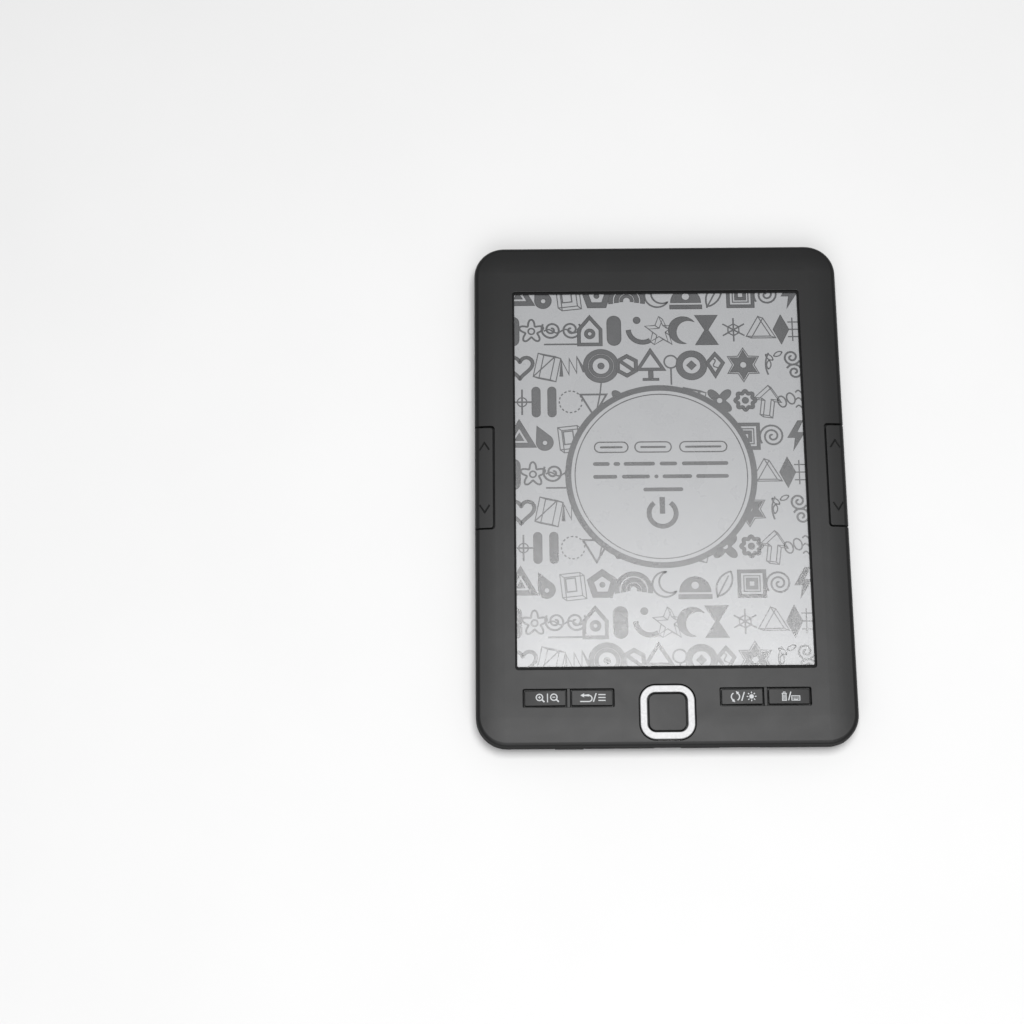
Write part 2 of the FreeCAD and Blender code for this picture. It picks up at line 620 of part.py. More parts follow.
def key_board_screws():
    return Part.makeCompound([screw(x, y, KEY_BOARD_Z[0] - 0.02, 8.1) for x, y in KEY_BOARD_SCREWS])


def micro_usb_shell():
    """The socket's folded steel shell: wide at the top, narrower below, open at the mouth."""
    y0, y1 = BOTTOM_Y + 0.9, BOTTOM_Y + 0.9 + USB_D

    def outline(inset):
        w, low, high = USB_W / 2 - inset, USB_Z[0] + inset, USB_Z[1] - inset
        taper = 1.0
        pts = [V(-w, 0, high), V(-w, 0, low + taper), V(-w + taper, 0, low), V(w - taper, 0, low),
               V(w, 0, low + taper), V(w, 0, high), V(-w, 0, high)]
        return Part.Face(Part.makePolygon(pts))

    outer = outline(0.0).extrude(V(0, y1 - y0, 0))
    outer.translate(V(USB_X, y0, 0))
    inner = outline(0.3).extrude(V(0, y1 - y0 - 0.8, 0))
    inner.translate(V(USB_X, y0 - 0.1, 0))
    return outer.cut(inner)


def micro_usb_tongue():
    y0 = BOTTOM_Y + 0.9
    z_mid = (USB_Z[0] + USB_Z[1]) / 2
    return box(span(USB_X, 4.6), (y0 + 0.7, y0 + USB_D - 0.9), (z_mid + 0.15, z_mid + 0.75))


SD_Y = BOTTOM_Y + 1.45  # the card socket's mouth
SD_CARD_Z = (SD_Z[0] + 0.25, SD_Z[0] + 1.15)


def micro_sd_socket():
    shell = box(span(SD_X, SD_W), (SD_Y, SD_Y + SD_D), SD_Z)
    return shell.cut(box(span(SD_X, 11.2), (SD_Y - 1, SD_Y + SD_D - 1.0), SD_CARD_Z))


def card_ejector():
    """The socket's push-push slide, at one side behind the card."""
    z = (SD_CARD_Z[0] + 0.06, SD_CARD_Z[1] - 0.06)
    slide = box((SD_X + 3.3, SD_X + 5.5), (SD_Y + 9.4, SD_Y + 12.2), z)
    return slide.cut(box((SD_X + 3, SD_X + 4.4), (SD_Y + 9, SD_Y + 10.4), (z[0] - 1, z[1] + 1)))


SWITCH_Y = BOTTOM_Y + 3.0  # the power switch's front


def power_switch():
    body = box(span(POWER_X, 6.0), (SWITCH_Y, SWITCH_Y + 3.0), (3.2, 5.28))
    return body.cut(box(span(POWER_X, 2.5), (SWITCH_Y - 1, SWITCH_Y + 1.6), (3.65, 4.65)))


def power_stem():
    return box(span(POWER_X, 2.4), (SWITCH_Y - 0.35, SWITCH_Y + 1.0), (3.7, 4.6))


def power_button():
    face = BOTTOM_Y + 0.05
    cap = box(span(POWER_X, POWER_W), (face, BOTTOM_Y + 1.6), POWER_Z)
    cap = cap.makeFillet(0.35, [e for e in cap.Edges if abs(e.BoundBox.YMax - face) < EDGE_TOL])
    flange_z = (POWER_Z[0] - 0.35, POWER_Z[1])
    flange = box(span(POWER_X, POWER_W + 1.6), (BOTTOM_Y + 1.4, BOTTOM_Y + 1.95), flange_z)
    pusher = box(span(POWER_X, 2.0), (BOTTOM_Y + 1.9, SWITCH_Y - 0.37), (3.8, 4.5))
    return fuse(cap, flange, pusher)


RESET_Y = BOTTOM_Y + 3.4  # the reset switch's front


def reset_switch():
    body = box(span(RESET_X, 4.6), (RESET_Y, RESET_Y + 2.6), (3.1, 5.28))
    return body.cut(rod_y(0.55, RESET_X, (RESET_Y - 1, RESET_Y + 1.5), RESET_Z))


def reset_plunger():
    return rod_y(0.5, RESET_X, (RESET_Y - 0.5, RESET_Y + 1.0), RESET_Z)


def link_cable():
    """The flat cable between the boards, beside the battery."""
    return ribbon([(-66.4, 4.7), (-60.0, 4.7), (-52.0, 4.15), (29.9, 4.15)], 6.0, 0.12, span(LINK_X, 12.0))


# ---- keys ---------------------------------------------------------------------------------------
def small_key(name):
    """One of the four front keys: a crowned cap on a flange, with a nib over its snap dome."""
    cx = key_centre(name)
    middle = math.copysign(KEY_PAIR_X, cx)
    x = [cx - KEY_LEN / 2 + KEY_GAP, cx + KEY_LEN / 2 - KEY_GAP]
    cap = rounded(x[1] - x[0], KEY_PAIR_H - 2 * KEY_GAP, 0.35, (7.3, BODY_T + 1), cx, KEY_ROW_Y)
    crown_z = BODY_T + KEY_PROUD - KEY_CROWN_R
    crown = Part.makeCylinder(KEY_CROWN_R, 20, V(middle, KEY_ROW_Y + 10, crown_z), V(0, -1, 0))
    cap = cap.common(crown)
    top = max(cap.Faces, key=lambda f: f.CenterOfMass.z)
    cap = cap.makeFillet(0.22, top.Edges)
    flange = box((x[0] - 0.15, x[1] + 0.15), span(KEY_ROW_Y, KEY_PAIR_H + 1.2), (7.1, 7.6))
    nib = post(0.9, (KEY_BOARD_Z[1] + DOME_H + 0.05, 7.2), cx, KEY_ROW_Y)
    return fuse(cap, flange, nib)


def key_dome(name):
    return dome(key_centre(name), KEY_ROW_Y, KEY_BOARD_Z[1] + 0.01)


def side_key(sign):
    """A page-turn rocker: it follows the body's edge and rocks on a pin at its middle."""
    block = side_notch(sign, SIDE_GAP, SIDE_FOOT_Z)
    skin = FRONT_SKIRTED.common(block)
    rim = [e for e in skin.Edges if e.BoundBox.ZMin > 8.5 and e.BoundBox.XLength + e.BoundBox.YLength > 0.3
           and abs(e.CenterOfMass.x) < 56.0 and e.BoundBox.ZLength < 0.45]
    skin = skin.makeFillet(0.3, rim)
    hollow = soften(box(sorted((sign * 50.0, sign * (HALF_W - 1.45))), span(SIDE_Y, SIDE_LEN + 2),
                        (3, SIDE_CEILING)), 0.6, SIDE_CEILING)
    rib_x = sorted((sign * 53.9, sign * 55.2))
    hub = fuse(rod_x(0.95, rib_x, SIDE_Y, PIN_Z), box(rib_x, span(SIDE_Y, 1.9), (PIN_Z, SIDE_CEILING + 0.4)))
    nibs = [post(0.7, (SIDE_DOME_Z + DOME_H + 0.05, SIDE_CEILING + 0.4), sign * SIDE_DOME_X, SIDE_Y + dy)
            for dy in SIDE_DOMES]
    body = fuse(skin.cut(hollow), hub, *nibs)
    bore = rod_x(PIN_R + RUNNING, sorted((sign * 53, sign * 56)), SIDE_Y, PIN_Z)
    marks = [chevron(sign * 55.5, SIDE_Y + s * 10.3, s) for s in (-1, 1)]
    return cut(body, bore, *marks)


def on_front(x, y):
    """The point of the front face over a place in plan."""
    upright = Part.makeLine(V(x, y, PARTING_Z), V(x, y, BODY_T + 1))
    return V(x, y, upright.common(FRONT).BoundBox.ZMax)


def chevron(x, y, way, size=3.1, rise=2.5, line=0.56, depth=0.2):
    """A cutter for an arrowhead in the crown, a shallow V groove that points up or down the page."""
    over = 0.1
    half_width = line / 2 * (1 + over / depth)
    arms = []
    for side in (-1, 1):
        foot, tip = on_front(x + side * size / 2, y - way * rise / 2), on_front(x, y + way * rise / 2)
        along = (tip - foot) * 1.08
        across = V(-along.y, along.x, 0).normalize() * half_width
        rim = [foot + across + V(0, 0, over), foot - across + V(0, 0, over), foot - V(0, 0, depth)]
        arms.append(Part.Face(Part.makePolygon(rim + rim[:1])).extrude(along))
    return fuse(*arms)


SIDE_DOMES = (-12.0, 12.0)  # along the rocker, from its middle
SIDE_DOME_X = 54.7
SIDE_DOME_Z = FRAME_Z[1] + 0.28


def side_board(sign):
    board = box(sorted((sign * 51.5, sign * 55.8)), (-13.6, 22.2), (FRAME_Z[1] + 0.02, FRAME_Z[1] + 0.27))
    return cut(board, box(sorted((sign * 52.7, sign * 57)), span(SIDE_Y, 3.4), (6, 8)))


def side_domes(sign):
    return Part.makeCompound([dome(sign * SIDE_DOME_X, SIDE_Y + dy, SIDE_DOME_Z, r=1.0) for dy in SIDE_DOMES])


def side_flex(sign):
    """A side board's flat cable, down through the carrier frame to the main board."""
    z = FRAME_Z[1] + 0.35
    route = [(21.3, z), (23.9, z), (23.9, 5.8), (29.1, 5.8)]
    return ribbon(route, 0.35, 0.1, sorted((sign * 52.3, sign * 55.3)))


def ring_block(w, r, z):
    return rounded(w, w, r, z, 0, NAV_Y)


RING_TOP = BODY_T + RING_PROUD


def nav_ring():
    ring = ring_block(RING_W, RING_R, (8.2, RING_TOP)).cut(ring_block(RING_IN, RING_IN_R, (8, 10)))
    return ring.makeFillet(0.28, level_edges(ring, RING_TOP))


NAV_WALL_Y = BOTTOM_Y + 2.25  # the rocker stops short of the bottom wall
ROCKER_Z = (7.1, 7.45)  # the rocker's flange
PAD_Z = (6.68, 6.8)


def nav_crop(shape):
    """The rocker and its pad are cropped where the shell's bottom wall stands."""
    return shape.cut(box((-12, 12), (BOTTOM_Y - 1, NAV_WALL_Y), (6, ROCKER_Z[1] + 0.1)))


def nav_rocker():
    """The black plate under the ring, which carries it and presses four snap domes."""
    plate = fuse(nav_crop(ring_block(18.2, 7.0, ROCKER_Z)), ring_block(15.9, 4.4, (ROCKER_Z[1], 8.18)))
    return cut(plate, ring_block(RING_IN, RING_IN_R, (6, 9)), ring_block(14.1, 3.0, (6, 7.68)))


DIRECTION_R = 7.7  # the direction domes, from the middle
NAV_DOME_Z = KEY_BOARD_Z[1] + 0.01
DIRECTIONS = [(DIRECTION_R, 0), (0, DIRECTION_R), (-DIRECTION_R, 0), (0, -DIRECTION_R)]


def nav_pad():
    """The silicone return pad over the direction domes, with two ridges that the rocker tips on."""
    pad = nav_crop(ring_block(18.0, 6.9, PAD_Z)).cut(ring_block(14.2, 3.1, (6, 8)))
    ridges = [box(span(0, 0.8), span(NAV_Y + y, 1.0), (PAD_Z[0], ROCKER_Z[0] - 0.02))
              for y in (DIRECTION_R, -DIRECTION_R)]
    return fuse(pad, *ridges)


def nav_direction_domes():
    return Part.makeCompound([dome(x, NAV_Y + y, NAV_DOME_Z, r=1.1) for x, y in DIRECTIONS])


def nav_centre_dome():
    return dome(0, NAV_Y, NAV_DOME_Z)


def nav_key():
    cap = ring_block(NAV_W, NAV_R, (7.1, BODY_T + 0.1))
    cap = cap.makeFillet(0.3, level_edges(cap, BODY_T + 0.1))
    flange = ring_block(13.4, 2.6, (6.85, 7.2))
    nib = post(1.0, (KEY_BOARD_Z[1] + DOME_H + 0.05, 6.9), 0, NAV_Y)
    return fuse(cap, flange, nib)


os.makedirs("parts", exist_ok=True)
save("front_shell", front_shell())
save("back_cover", back_cover())
save("display_mask", display_mask())
save("light_guide", light_guide())
save("front_light_leds", front_light_leds())
save("front_light_flex", front_light_flex())
save("epaper_film", epaper_film())
save("display_glass", display_glass())
save("display_drivers", display_drivers())
save("display_flex", display_flex())
save("panel_tape", panel_tape())
save("carrier_frame", carrier_frame())
save("carrier_screws", carrier_screws())
save("side_pivot_pins", side_pivot_pins())
save("main_board", main_board())
save("processor_shield", processor_shield())
save("board_chips", board_chips())
save("board_connectors", board_connectors())
save("main_board_screws", main_board_screws())
save("battery_cell", battery_cell())
save("battery_tape", battery_tape())
save("battery_circuit", battery_circuit())
save("battery_connector", battery_connector())
save("battery_lead_red", lead(-1.4))
save("battery_lead_black", lead(1.4))
save("key_board", key_board())
save("key_board_screws", key_board_screws())
save("micro_usb_shell", micro_usb_shell())
save("micro_usb_tongue", micro_usb_tongue())
save("micro_sd_socket", micro_sd_socket())
save("card_ejector", card_ejector())
save("power_switch", power_switch())
save("power_stem", power_stem())
save("power_button", power_button())
save("reset_switch", reset_switch())
save("reset_plunger", reset_plunger())
save("link_cable", link_cable())
save("nav_ring", nav_ring())
save("nav_rocker", nav_rocker())
save("nav_pad", nav_pad())
save("nav_key", nav_key())
save("nav_direction_domes", nav_direction_domes())
save("nav_centre_dome", nav_centre_dome())
for key in KEY_XS:
    save(key, small_key(key))
    save(key.replace("key", "dome"), key_dome(key))
for side_name, side_sign in (("left", -1), ("right", 1)):
    save(f"side_key_{side_name}", side_key(side_sign))
    save(f"side_board_{side_name}", side_board(side_sign))
    save(f"side_domes_{side_name}", side_domes(side_sign))
    save(f"side_flex_{side_name}", side_flex(side_sign))
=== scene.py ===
"""Six-inch e-paper reader with a front light: looks, screen picture, key marks, snap domes, studio
and camera.

Drawings are in mm and lie in the CAD model's frame. Lights, floor and camera are in metres.
"""

import bmesh
import bpy
import json
import math
from mathutils import Matrix, Vector
from mathutils.geometry import tessellate_polygon


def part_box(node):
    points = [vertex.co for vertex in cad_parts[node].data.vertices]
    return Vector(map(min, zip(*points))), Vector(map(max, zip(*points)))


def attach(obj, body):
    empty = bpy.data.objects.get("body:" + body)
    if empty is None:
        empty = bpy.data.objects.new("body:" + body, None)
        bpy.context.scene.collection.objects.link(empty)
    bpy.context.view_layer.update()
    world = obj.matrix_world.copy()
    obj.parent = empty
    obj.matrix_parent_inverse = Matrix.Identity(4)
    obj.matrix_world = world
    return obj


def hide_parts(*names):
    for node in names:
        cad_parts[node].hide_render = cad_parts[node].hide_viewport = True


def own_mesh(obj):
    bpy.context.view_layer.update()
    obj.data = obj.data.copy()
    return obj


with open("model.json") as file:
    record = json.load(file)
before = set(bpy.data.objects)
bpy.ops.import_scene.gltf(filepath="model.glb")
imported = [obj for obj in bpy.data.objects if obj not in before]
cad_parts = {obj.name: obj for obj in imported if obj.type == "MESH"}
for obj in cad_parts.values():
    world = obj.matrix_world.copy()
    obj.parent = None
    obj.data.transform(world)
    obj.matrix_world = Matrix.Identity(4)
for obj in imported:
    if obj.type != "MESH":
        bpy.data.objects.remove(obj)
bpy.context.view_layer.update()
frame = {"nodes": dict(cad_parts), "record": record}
MM = 0.001


# ---- materials ----------------------------------------------------------------------------------
class Look:
    """One Principled material and short ways to wire noise into it."""

    def __init__(self, name, colour, roughness, **constants):
        """The constants are shader sockets by name, with _ for each space."""
        self.mat = bpy.data.materials.new(name)
        self.mat.use_nodes = True
        self.tree = self.mat.node_tree
        self.shader = self.tree.nodes["Principled BSDF"]
        self.place = self.add("ShaderNodeTexCoord").outputs["Object"]
        self.set("Base Color", (*colour, 1.0))
        self.set("Roughness", roughness)
        for key, value in constants.items():
            self.set(key.replace("_", " "), value)
        self.height = None

    def add(self, kind, **settings):
        node = self.tree.nodes.new(kind)
        for key, value in settings.items():
            setattr(node, key, value)
        return node

    def set(self, socket, value):
        self.shader.inputs[socket].default_value = value

    def wire(self, source, socket):
        self.tree.links.new(source, socket)

    def stretched(self, sx, sy, sz):
        """Object coordinates scaled by axis, for brushed or drawn surfaces."""
        node = self.add("ShaderNodeMapping")
        self.wire(self.place, node.inputs["Vector"])
        node.inputs["Scale"].default_value = (sx, sy, sz)
        return node.outputs["Vector"]

    def noise(self, size_mm, detail=3.0, rough=0.55, place=None, warp=0.0):
        node = self.add("ShaderNodeTexNoise")
        self.wire(place or self.place, node.inputs["Vector"])
        node.inputs["Scale"].default_value = 1.0 / (size_mm * MM)
        node.inputs["Detail"].default_value = detail
        node.inputs["Roughness"].default_value = rough
        node.inputs["Distortion"].default_value = warp
        return node.outputs["Fac"]

    def cells(self, size_mm, feature="F1", randomness=1.0):
        node = self.add("ShaderNodeTexVoronoi", feature=feature)
        self.wire(self.place, node.inputs["Vector"])
        node.inputs["Scale"].default_value = 1.0 / (size_mm * MM)
        node.inputs["Randomness"].default_value = randomness
        return node.outputs["Distance"]

    def stripes(self, size_mm):
        """Bands across X, one for each size_mm."""
        node = self.add("ShaderNodeTexWave", bands_direction="X", wave_profile="SIN")
        self.wire(self.place, node.inputs["Vector"])
        node.inputs["Scale"].default_value = 1.0 / (size_mm * MM) / 20.0 * math.tau
        return node.outputs["Fac"]

    def remap(self, source, low, high, to_low=0.0, to_high=1.0):
        """A value between low and high, stretched to run from to_low to to_high."""
        node = self.add("ShaderNodeMapRange")
        self.wire(source, node.inputs["Value"])
        limits = {"From Min": low, "From Max": high, "To Min": to_low, "To Max": to_high}
        for socket, value in limits.items():
            node.inputs[socket].default_value = value
        return node.outputs["Result"]

    def blend(self, amount, first, second):
        """Mixes two colours; either one is a colour or another node's output."""
        node = self.add("ShaderNodeMix", data_type="RGBA")
        self.wire(amount, node.inputs[0])
        for socket, value in ((node.inputs[6], first), (node.inputs[7], second)):
            if isinstance(value, tuple):
                socket.default_value = (*value, 1.0)
            else:
                self.wire(value, socket)
        return node.outputs[2]

    def colour(self, source):
        self.wire(source, self.shader.inputs["Base Color"])

    def rough(self, source, low, high):
        self.wire(self.remap(source, 0.3, 0.7, low, high), self.shader.inputs["Roughness"])

    def upright(self, on_wall):
        """A value on upright walls that falls to 0 on faces that lie flat."""
        apart = self.add("ShaderNodeSeparateXYZ")
        self.wire(self.add("ShaderNodeNewGeometry").outputs["Normal"], apart.inputs["Vector"])
        return self.remap(apart.outputs["Z"], 0.15, 0.75, on_wall, 0.0)

    def larger(self, first, second):
        node = self.add("ShaderNodeMath", operation="MAXIMUM")
        self.wire(first, node.inputs[0])
        self.wire(second, node.inputs[1])
        return node.outputs["Value"]

    def relief(self, source, depth_mm, strength):
        """Adds one layer of bump; layers stack."""
        node = self.add("ShaderNodeBump")
        node.inputs["Strength"].default_value = strength
        node.inputs["Distance"].default_value = depth_mm * MM
        self.wire(source, node.inputs["Height"])
        if self.height:
            self.wire(self.height, node.inputs["Normal"])
        self.height = node.outputs["Normal"]
        self.wire(self.height, self.shader.inputs["Normal"])


WALL_ROUGH = 0.9


def moulded(name, light, dark, gloss_range, grain_mm, grain_depth, level):
    """Spark-textured plastic: a fine grain, faint mottling and handling marks in the gloss. The
    side walls come out of the mould duller than the face."""
    low, high = gloss_range
    look = Look(name, light, (low + high) / 2, Specular_IOR_Level=level)
    specks = look.remap(look.noise(grain_mm, 2.0), 0.35, 0.65)
    clouds = look.remap(look.noise(24.0, 4.0), 0.35, 0.65)
    base = look.blend(clouds, dark, light)
    deeper = tuple(c * 0.82 for c in dark)
    look.colour(look.blend(specks, deeper, base))
    gloss = look.remap(look.noise(13.0, 5.0, 0.6, warp=0.6), 0.3, 0.7, low, high)
    look.wire(look.larger(gloss, look.upright(WALL_ROUGH)), look.shader.inputs["Roughness"])
    look.relief(look.cells(grain_mm * 1.6), grain_depth, 0.5)
    look.relief(look.noise(grain_mm, 3.0), grain_depth, 0.6)
    return look.mat


def drawn_metal(name, light, dark, low, high, stretch):
    """Rolled or satin metal: long faint lines in the colour and surface."""
    look = Look(name, light, (low + high) / 2, Metallic=1.0)
    lines = look.noise(0.14, 3.0, place=look.stretched(*stretch))
    look.colour(look.blend(look.remap(lines, 0.3, 0.7), dark, light))
    look.rough(look.noise(3.0, 4.0), low, high)
    look.relief(lines, 0.002, 0.5)
    return look.mat


def paper_screen(name, light, dark, level):
    """E-paper: microcapsules in the plane of the picture, and a slow drift of tone across it."""
    look = Look(name, light, SCREEN_ROUGH, Specular_IOR_Level=level)
    capsules = look.remap(look.noise(0.09, 2.0), 0.3, 0.7)
    drift = look.remap(look.noise(38.0, 2.0), 0.3, 0.7)
    soft = tuple(a * 0.5 + b * 0.5 for a, b in zip(light, dark))
    look.colour(look.blend(capsules, look.blend(drift, dark, soft), light))
    look.rough(look.noise(9.0, 3.0), SCREEN_ROUGH - 0.02, SCREEN_ROUGH + 0.02)
    look.relief(look.noise(0.12, 2.0), 0.001, 0.3)
    return look.mat


def board(name, mask, over_track):
    """Solder mask over copper: tracks show through as a lighter tone, and pads stay bare."""
    look = Look(name, mask, 0.32)
    grid = look.cells(1.3, "DISTANCE_TO_EDGE", randomness=0.75)
    tracks = look.remap(grid, 0.10, 0.06)
    pads = look.remap(look.cells(2.6), 0.16, 0.12)
    masked = look.blend(tracks, mask, over_track)
    look.colour(look.blend(pads, masked, (0.62, 0.44, 0.16)))
    look.rough(look.noise(4.0, 3.0), 0.26, 0.38)
    look.relief(tracks, 0.02, 0.6)
    return look.mat


def flat_cable(name):
    """Polyimide over copper tracks that run the length of the page."""
    look = Look(name, (0.5, 0.22, 0.05), 0.3)
    tracks = look.remap(look.stripes(0.5), 0.45, 0.62)
    look.colour(look.blend(tracks, (0.50, 0.24, 0.055), (0.34, 0.12, 0.030)))
    look.rough(look.noise(1.5, 3.0), 0.24, 0.36)
    look.relief(tracks, 0.015, 0.6)
    return look.mat


def plain(name, light, dark, size_mm, low, high, depth=0.01, **constants):
    """A material with mottled colour, uneven gloss and a shallow texture, all of about one size."""
    look = Look(name, light, (low + high) / 2, **constants)
    look.colour(look.blend(look.remap(look.noise(size_mm, 4.0), 0.3, 0.7), dark, light))
    look.rough(look.noise(size_mm * 2.5, 3.0), low, high)
    look.relief(look.noise(size_mm * 0.5, 3.0), depth, 0.6)
    return look.mat


FADE_FROM, FADE_TO = 0.45, 1.3


def pale_floor():
    """A matt sheet with faint mottling. It turns paler between two distances in metres from the
    object's middle, where the lamps fade."""
    near, mottle, far = (0.65, 0.65, 0.65), (0.635, 0.635, 0.635), (0.95, 0.95, 0.95)
    look = Look("floor_white", near, 0.78)
    away = look.add("ShaderNodeVectorMath", operation="LENGTH")
    look.wire(look.place, away.inputs[0])
    sheet = look.blend(look.remap(look.noise(90.0, 4.0), 0.3, 0.7), mottle, near)
    look.colour(look.blend(look.remap(away.outputs["Value"], FADE_FROM, FADE_TO), sheet, far))
    look.rough(look.noise(225.0, 3.0), 0.7, 0.85)
    look.relief(look.noise(45.0, 3.0), 0.01, 0.6)
    return look.mat


def pouch_foil(name):
    """Aluminium pouch laminate with shallow creases."""
    look = Look(name, (0.62, 0.63, 0.66), 0.36, Metallic=0.85)
    creases = look.noise(5.0, 3.0, 0.6, warp=1.4)
    look.colour(look.blend(look.remap(creases, 0.3, 0.7), (0.46, 0.47, 0.50), (0.64, 0.65, 0.68)))
    look.rough(creases, 0.28, 0.44)
    look.relief(creases, 0.12, 0.5)
    look.relief(look.noise(0.3, 2.0), 0.004, 0.5)
    return look.mat


SCREEN_ROUGH = 0.28
PAPER = (0.322, 0.326, 0.335)
PAPER_LOW = (0.308, 0.312, 0.321)
INK = (0.044, 0.045, 0.048)
INK_LOW = (0.037, 0.038, 0.041)

looks = {
    "shell_black": moulded("shell_plastic", (0.0092, 0.0093, 0.0095), (0.0074, 0.0075, 0.0077),
                           (0.395, 0.435), 0.22, 0.006, 0.265),
    "key_black": moulded("key_plastic", (0.0100, 0.0101, 0.0103), (0.0080, 0.0081, 0.0083),
                         (0.41, 0.45), 0.16, 0.004, 0.27),
    "silver_trim": plain("silver_trim", (0.435, 0.435, 0.440), (0.400, 0.400, 0.405), 0.25,
                         0.57, 0.63, 0.003, Metallic=1.0),
    "border_black": plain("border_black", (0.004, 0.004, 0.0042), (0.003, 0.003, 0.0032), 0.4,
                          0.55, 0.65, 0.002, Specular_IOR_Level=0.15),
    "light_guide": plain("light_guide", (0.20, 0.205, 0.21), (0.18, 0.185, 0.19), 0.3,
                         0.30, 0.36, 0.001, Alpha=0.05),
    "e_paper": paper_screen("e_paper", PAPER, PAPER_LOW, 0.64),
    "panel_glass": plain("panel_glass", (0.13, 0.15, 0.145), (0.10, 0.115, 0.11), 0.5,
                         0.06, 0.12, 0.001, Coat_Weight=0.5, Coat_Roughness=0.05),
    "lamp_white": plain("lamp_white", (0.82, 0.79, 0.60), (0.74, 0.66, 0.38), 0.6,
                        0.35, 0.5, 0.004),
    "flex_amber": flat_cable("flex_amber"),
    "chip_black": plain("chip_black", (0.0060, 0.0060, 0.0064), (0.0040, 0.0040, 0.0044), 0.12,
                        0.6, 0.7, 0.006, Specular_IOR_Level=0.2),
    "board_green": board("board_green", (0.010, 0.085, 0.040), (0.022, 0.190, 0.085)),
    "board_black": plain("board_black", (0.0045, 0.0045, 0.0048), (0.0030, 0.0030, 0.0032), 0.8,
                         0.5, 0.62, Specular_IOR_Level=0.2),
    "connector_ivory": plain("connector_ivory", (0.66, 0.62, 0.52), (0.60, 0.56, 0.45), 0.4,
                             0.38, 0.5, 0.005),
    "tray_metal": drawn_metal("tray_metal", (0.030, 0.030, 0.032), (0.020, 0.020, 0.022),
                              0.42, 0.54, (1.0, 0.04, 1.0)),
    "steel": drawn_metal("steel", (0.66, 0.65, 0.63), (0.52, 0.51, 0.50),
                         0.22, 0.34, (0.04, 1.0, 1.0)),
    "cell_foil": pouch_foil("cell_foil"),
    "tape_white": plain("tape_white", (0.74, 0.74, 0.72), (0.66, 0.66, 0.63), 0.5,
                        0.62, 0.8, 0.02),
    "wire_red": plain("wire_red", (0.42, 0.015, 0.012), (0.34, 0.010, 0.009), 0.6,
                      0.4, 0.52, 0.006),
    "wire_black": plain("wire_black", (0.020, 0.020, 0.021), (0.013, 0.013, 0.014), 0.6,
                        0.4, 0.52, 0.006),
    "pad_grey": plain("pad_grey", (0.26, 0.26, 0.27), (0.21, 0.21, 0.22), 0.5, 0.55, 0.68),
}
ink = paper_screen("screen_ink", INK, INK_LOW, 0.9)
ink_line = paper_screen("screen_ink_line", (0.016, 0.016, 0.018), (0.012, 0.012, 0.014), 1.0)
key_print = plain("key_print", (0.44, 0.45, 0.46), (0.36, 0.37, 0.38), 0.2, 0.45, 0.6, 0.002)
back_matte = moulded("back_plastic", (0.0150, 0.0151, 0.0154), (0.0120, 0.0121, 0.0124),
                     (0.58, 0.68), 0.3, 0.010, 0.12)

for part in frame["record"]["subparts"]:
    mesh = frame["nodes"][part["node"]].data
    mesh.materials.clear()
    is_back = part["node"] == "back_cover"
    mesh.materials.append(back_matte if is_back else looks[part["material_slot"]])


# ---- flat drawings as thin solids ---------------------------------------------------------------
def turned(points, angle, at=(0.0, 0.0)):
    """The points turned by an angle in radians and moved so that their origin is at a place."""
    c, s = math.cos(angle), math.sin(angle)
    return [(at[0] + x * c - y * s, at[1] + x * s + y * c) for x, y in points]


def arc(radius, start, end, steps=24, at=(0.0, 0.0)):
    """Points on a circle between two angles in degrees."""
    return [(at[0] + radius * math.cos(math.radians(start + (end - start) * i / steps)),
             at[1] + radius * math.sin(math.radians(start + (end - start) * i / steps)))
            for i in range(steps + 1)]


def circle(radius, steps=40, at=(0.0, 0.0)):
    return arc(radius, 0, 360, steps, at)[:-1]


def polygon(sides, radius, start=90.0):
    return [(radius * math.cos(math.radians(start + 360 * i / sides)),
             radius * math.sin(math.radians(start + 360 * i / sides))) for i in range(sides)]


def star(points, outer, inner):
    ring = []
    for i in range(points):
        a = math.radians(90 + 360 * i / points)
        b = math.radians(90 + 360 * (i + 0.5) / points)
        ring.append((outer * math.cos(a), outer * math.sin(a)))
        ring.append((inner * math.cos(b), inner * math.sin(b)))
    return ring


def offset(points, distance, closed):
    """The path moved sideways, with its corners mitred."""
    moved = []
    n = len(points)
    for i, (x, y) in enumerate(points):
        before = points[i - 1] if closed or i else None
        after = points[(i + 1) % n] if closed or i < n - 1 else None
        normals = []
        for a, b in ((before, (x, y)), ((x, y), after)):
            if a is None or b is None:
                continue
            length = math.hypot(b[0] - a[0], b[1] - a[1]) or 1e-12
            normals.append(((a[1] - b[1]) / length, (b[0] - a[0]) / length))
        nx = sum(v[0] for v in normals) / len(normals)
        ny = sum(v[1] for v in normals) / len(normals)
        square = max(nx * nx + ny * ny, 0.25)
        moved.append((x + nx / square * distance, y + ny / square * distance))
    return moved


def area_twice(loop):
    """Twice the area inside a loop, below 0 if it runs clockwise."""
    return sum(loop[i - 1][0] * y - x * loop[i - 1][1] for i, (x, y) in enumerate(loop))


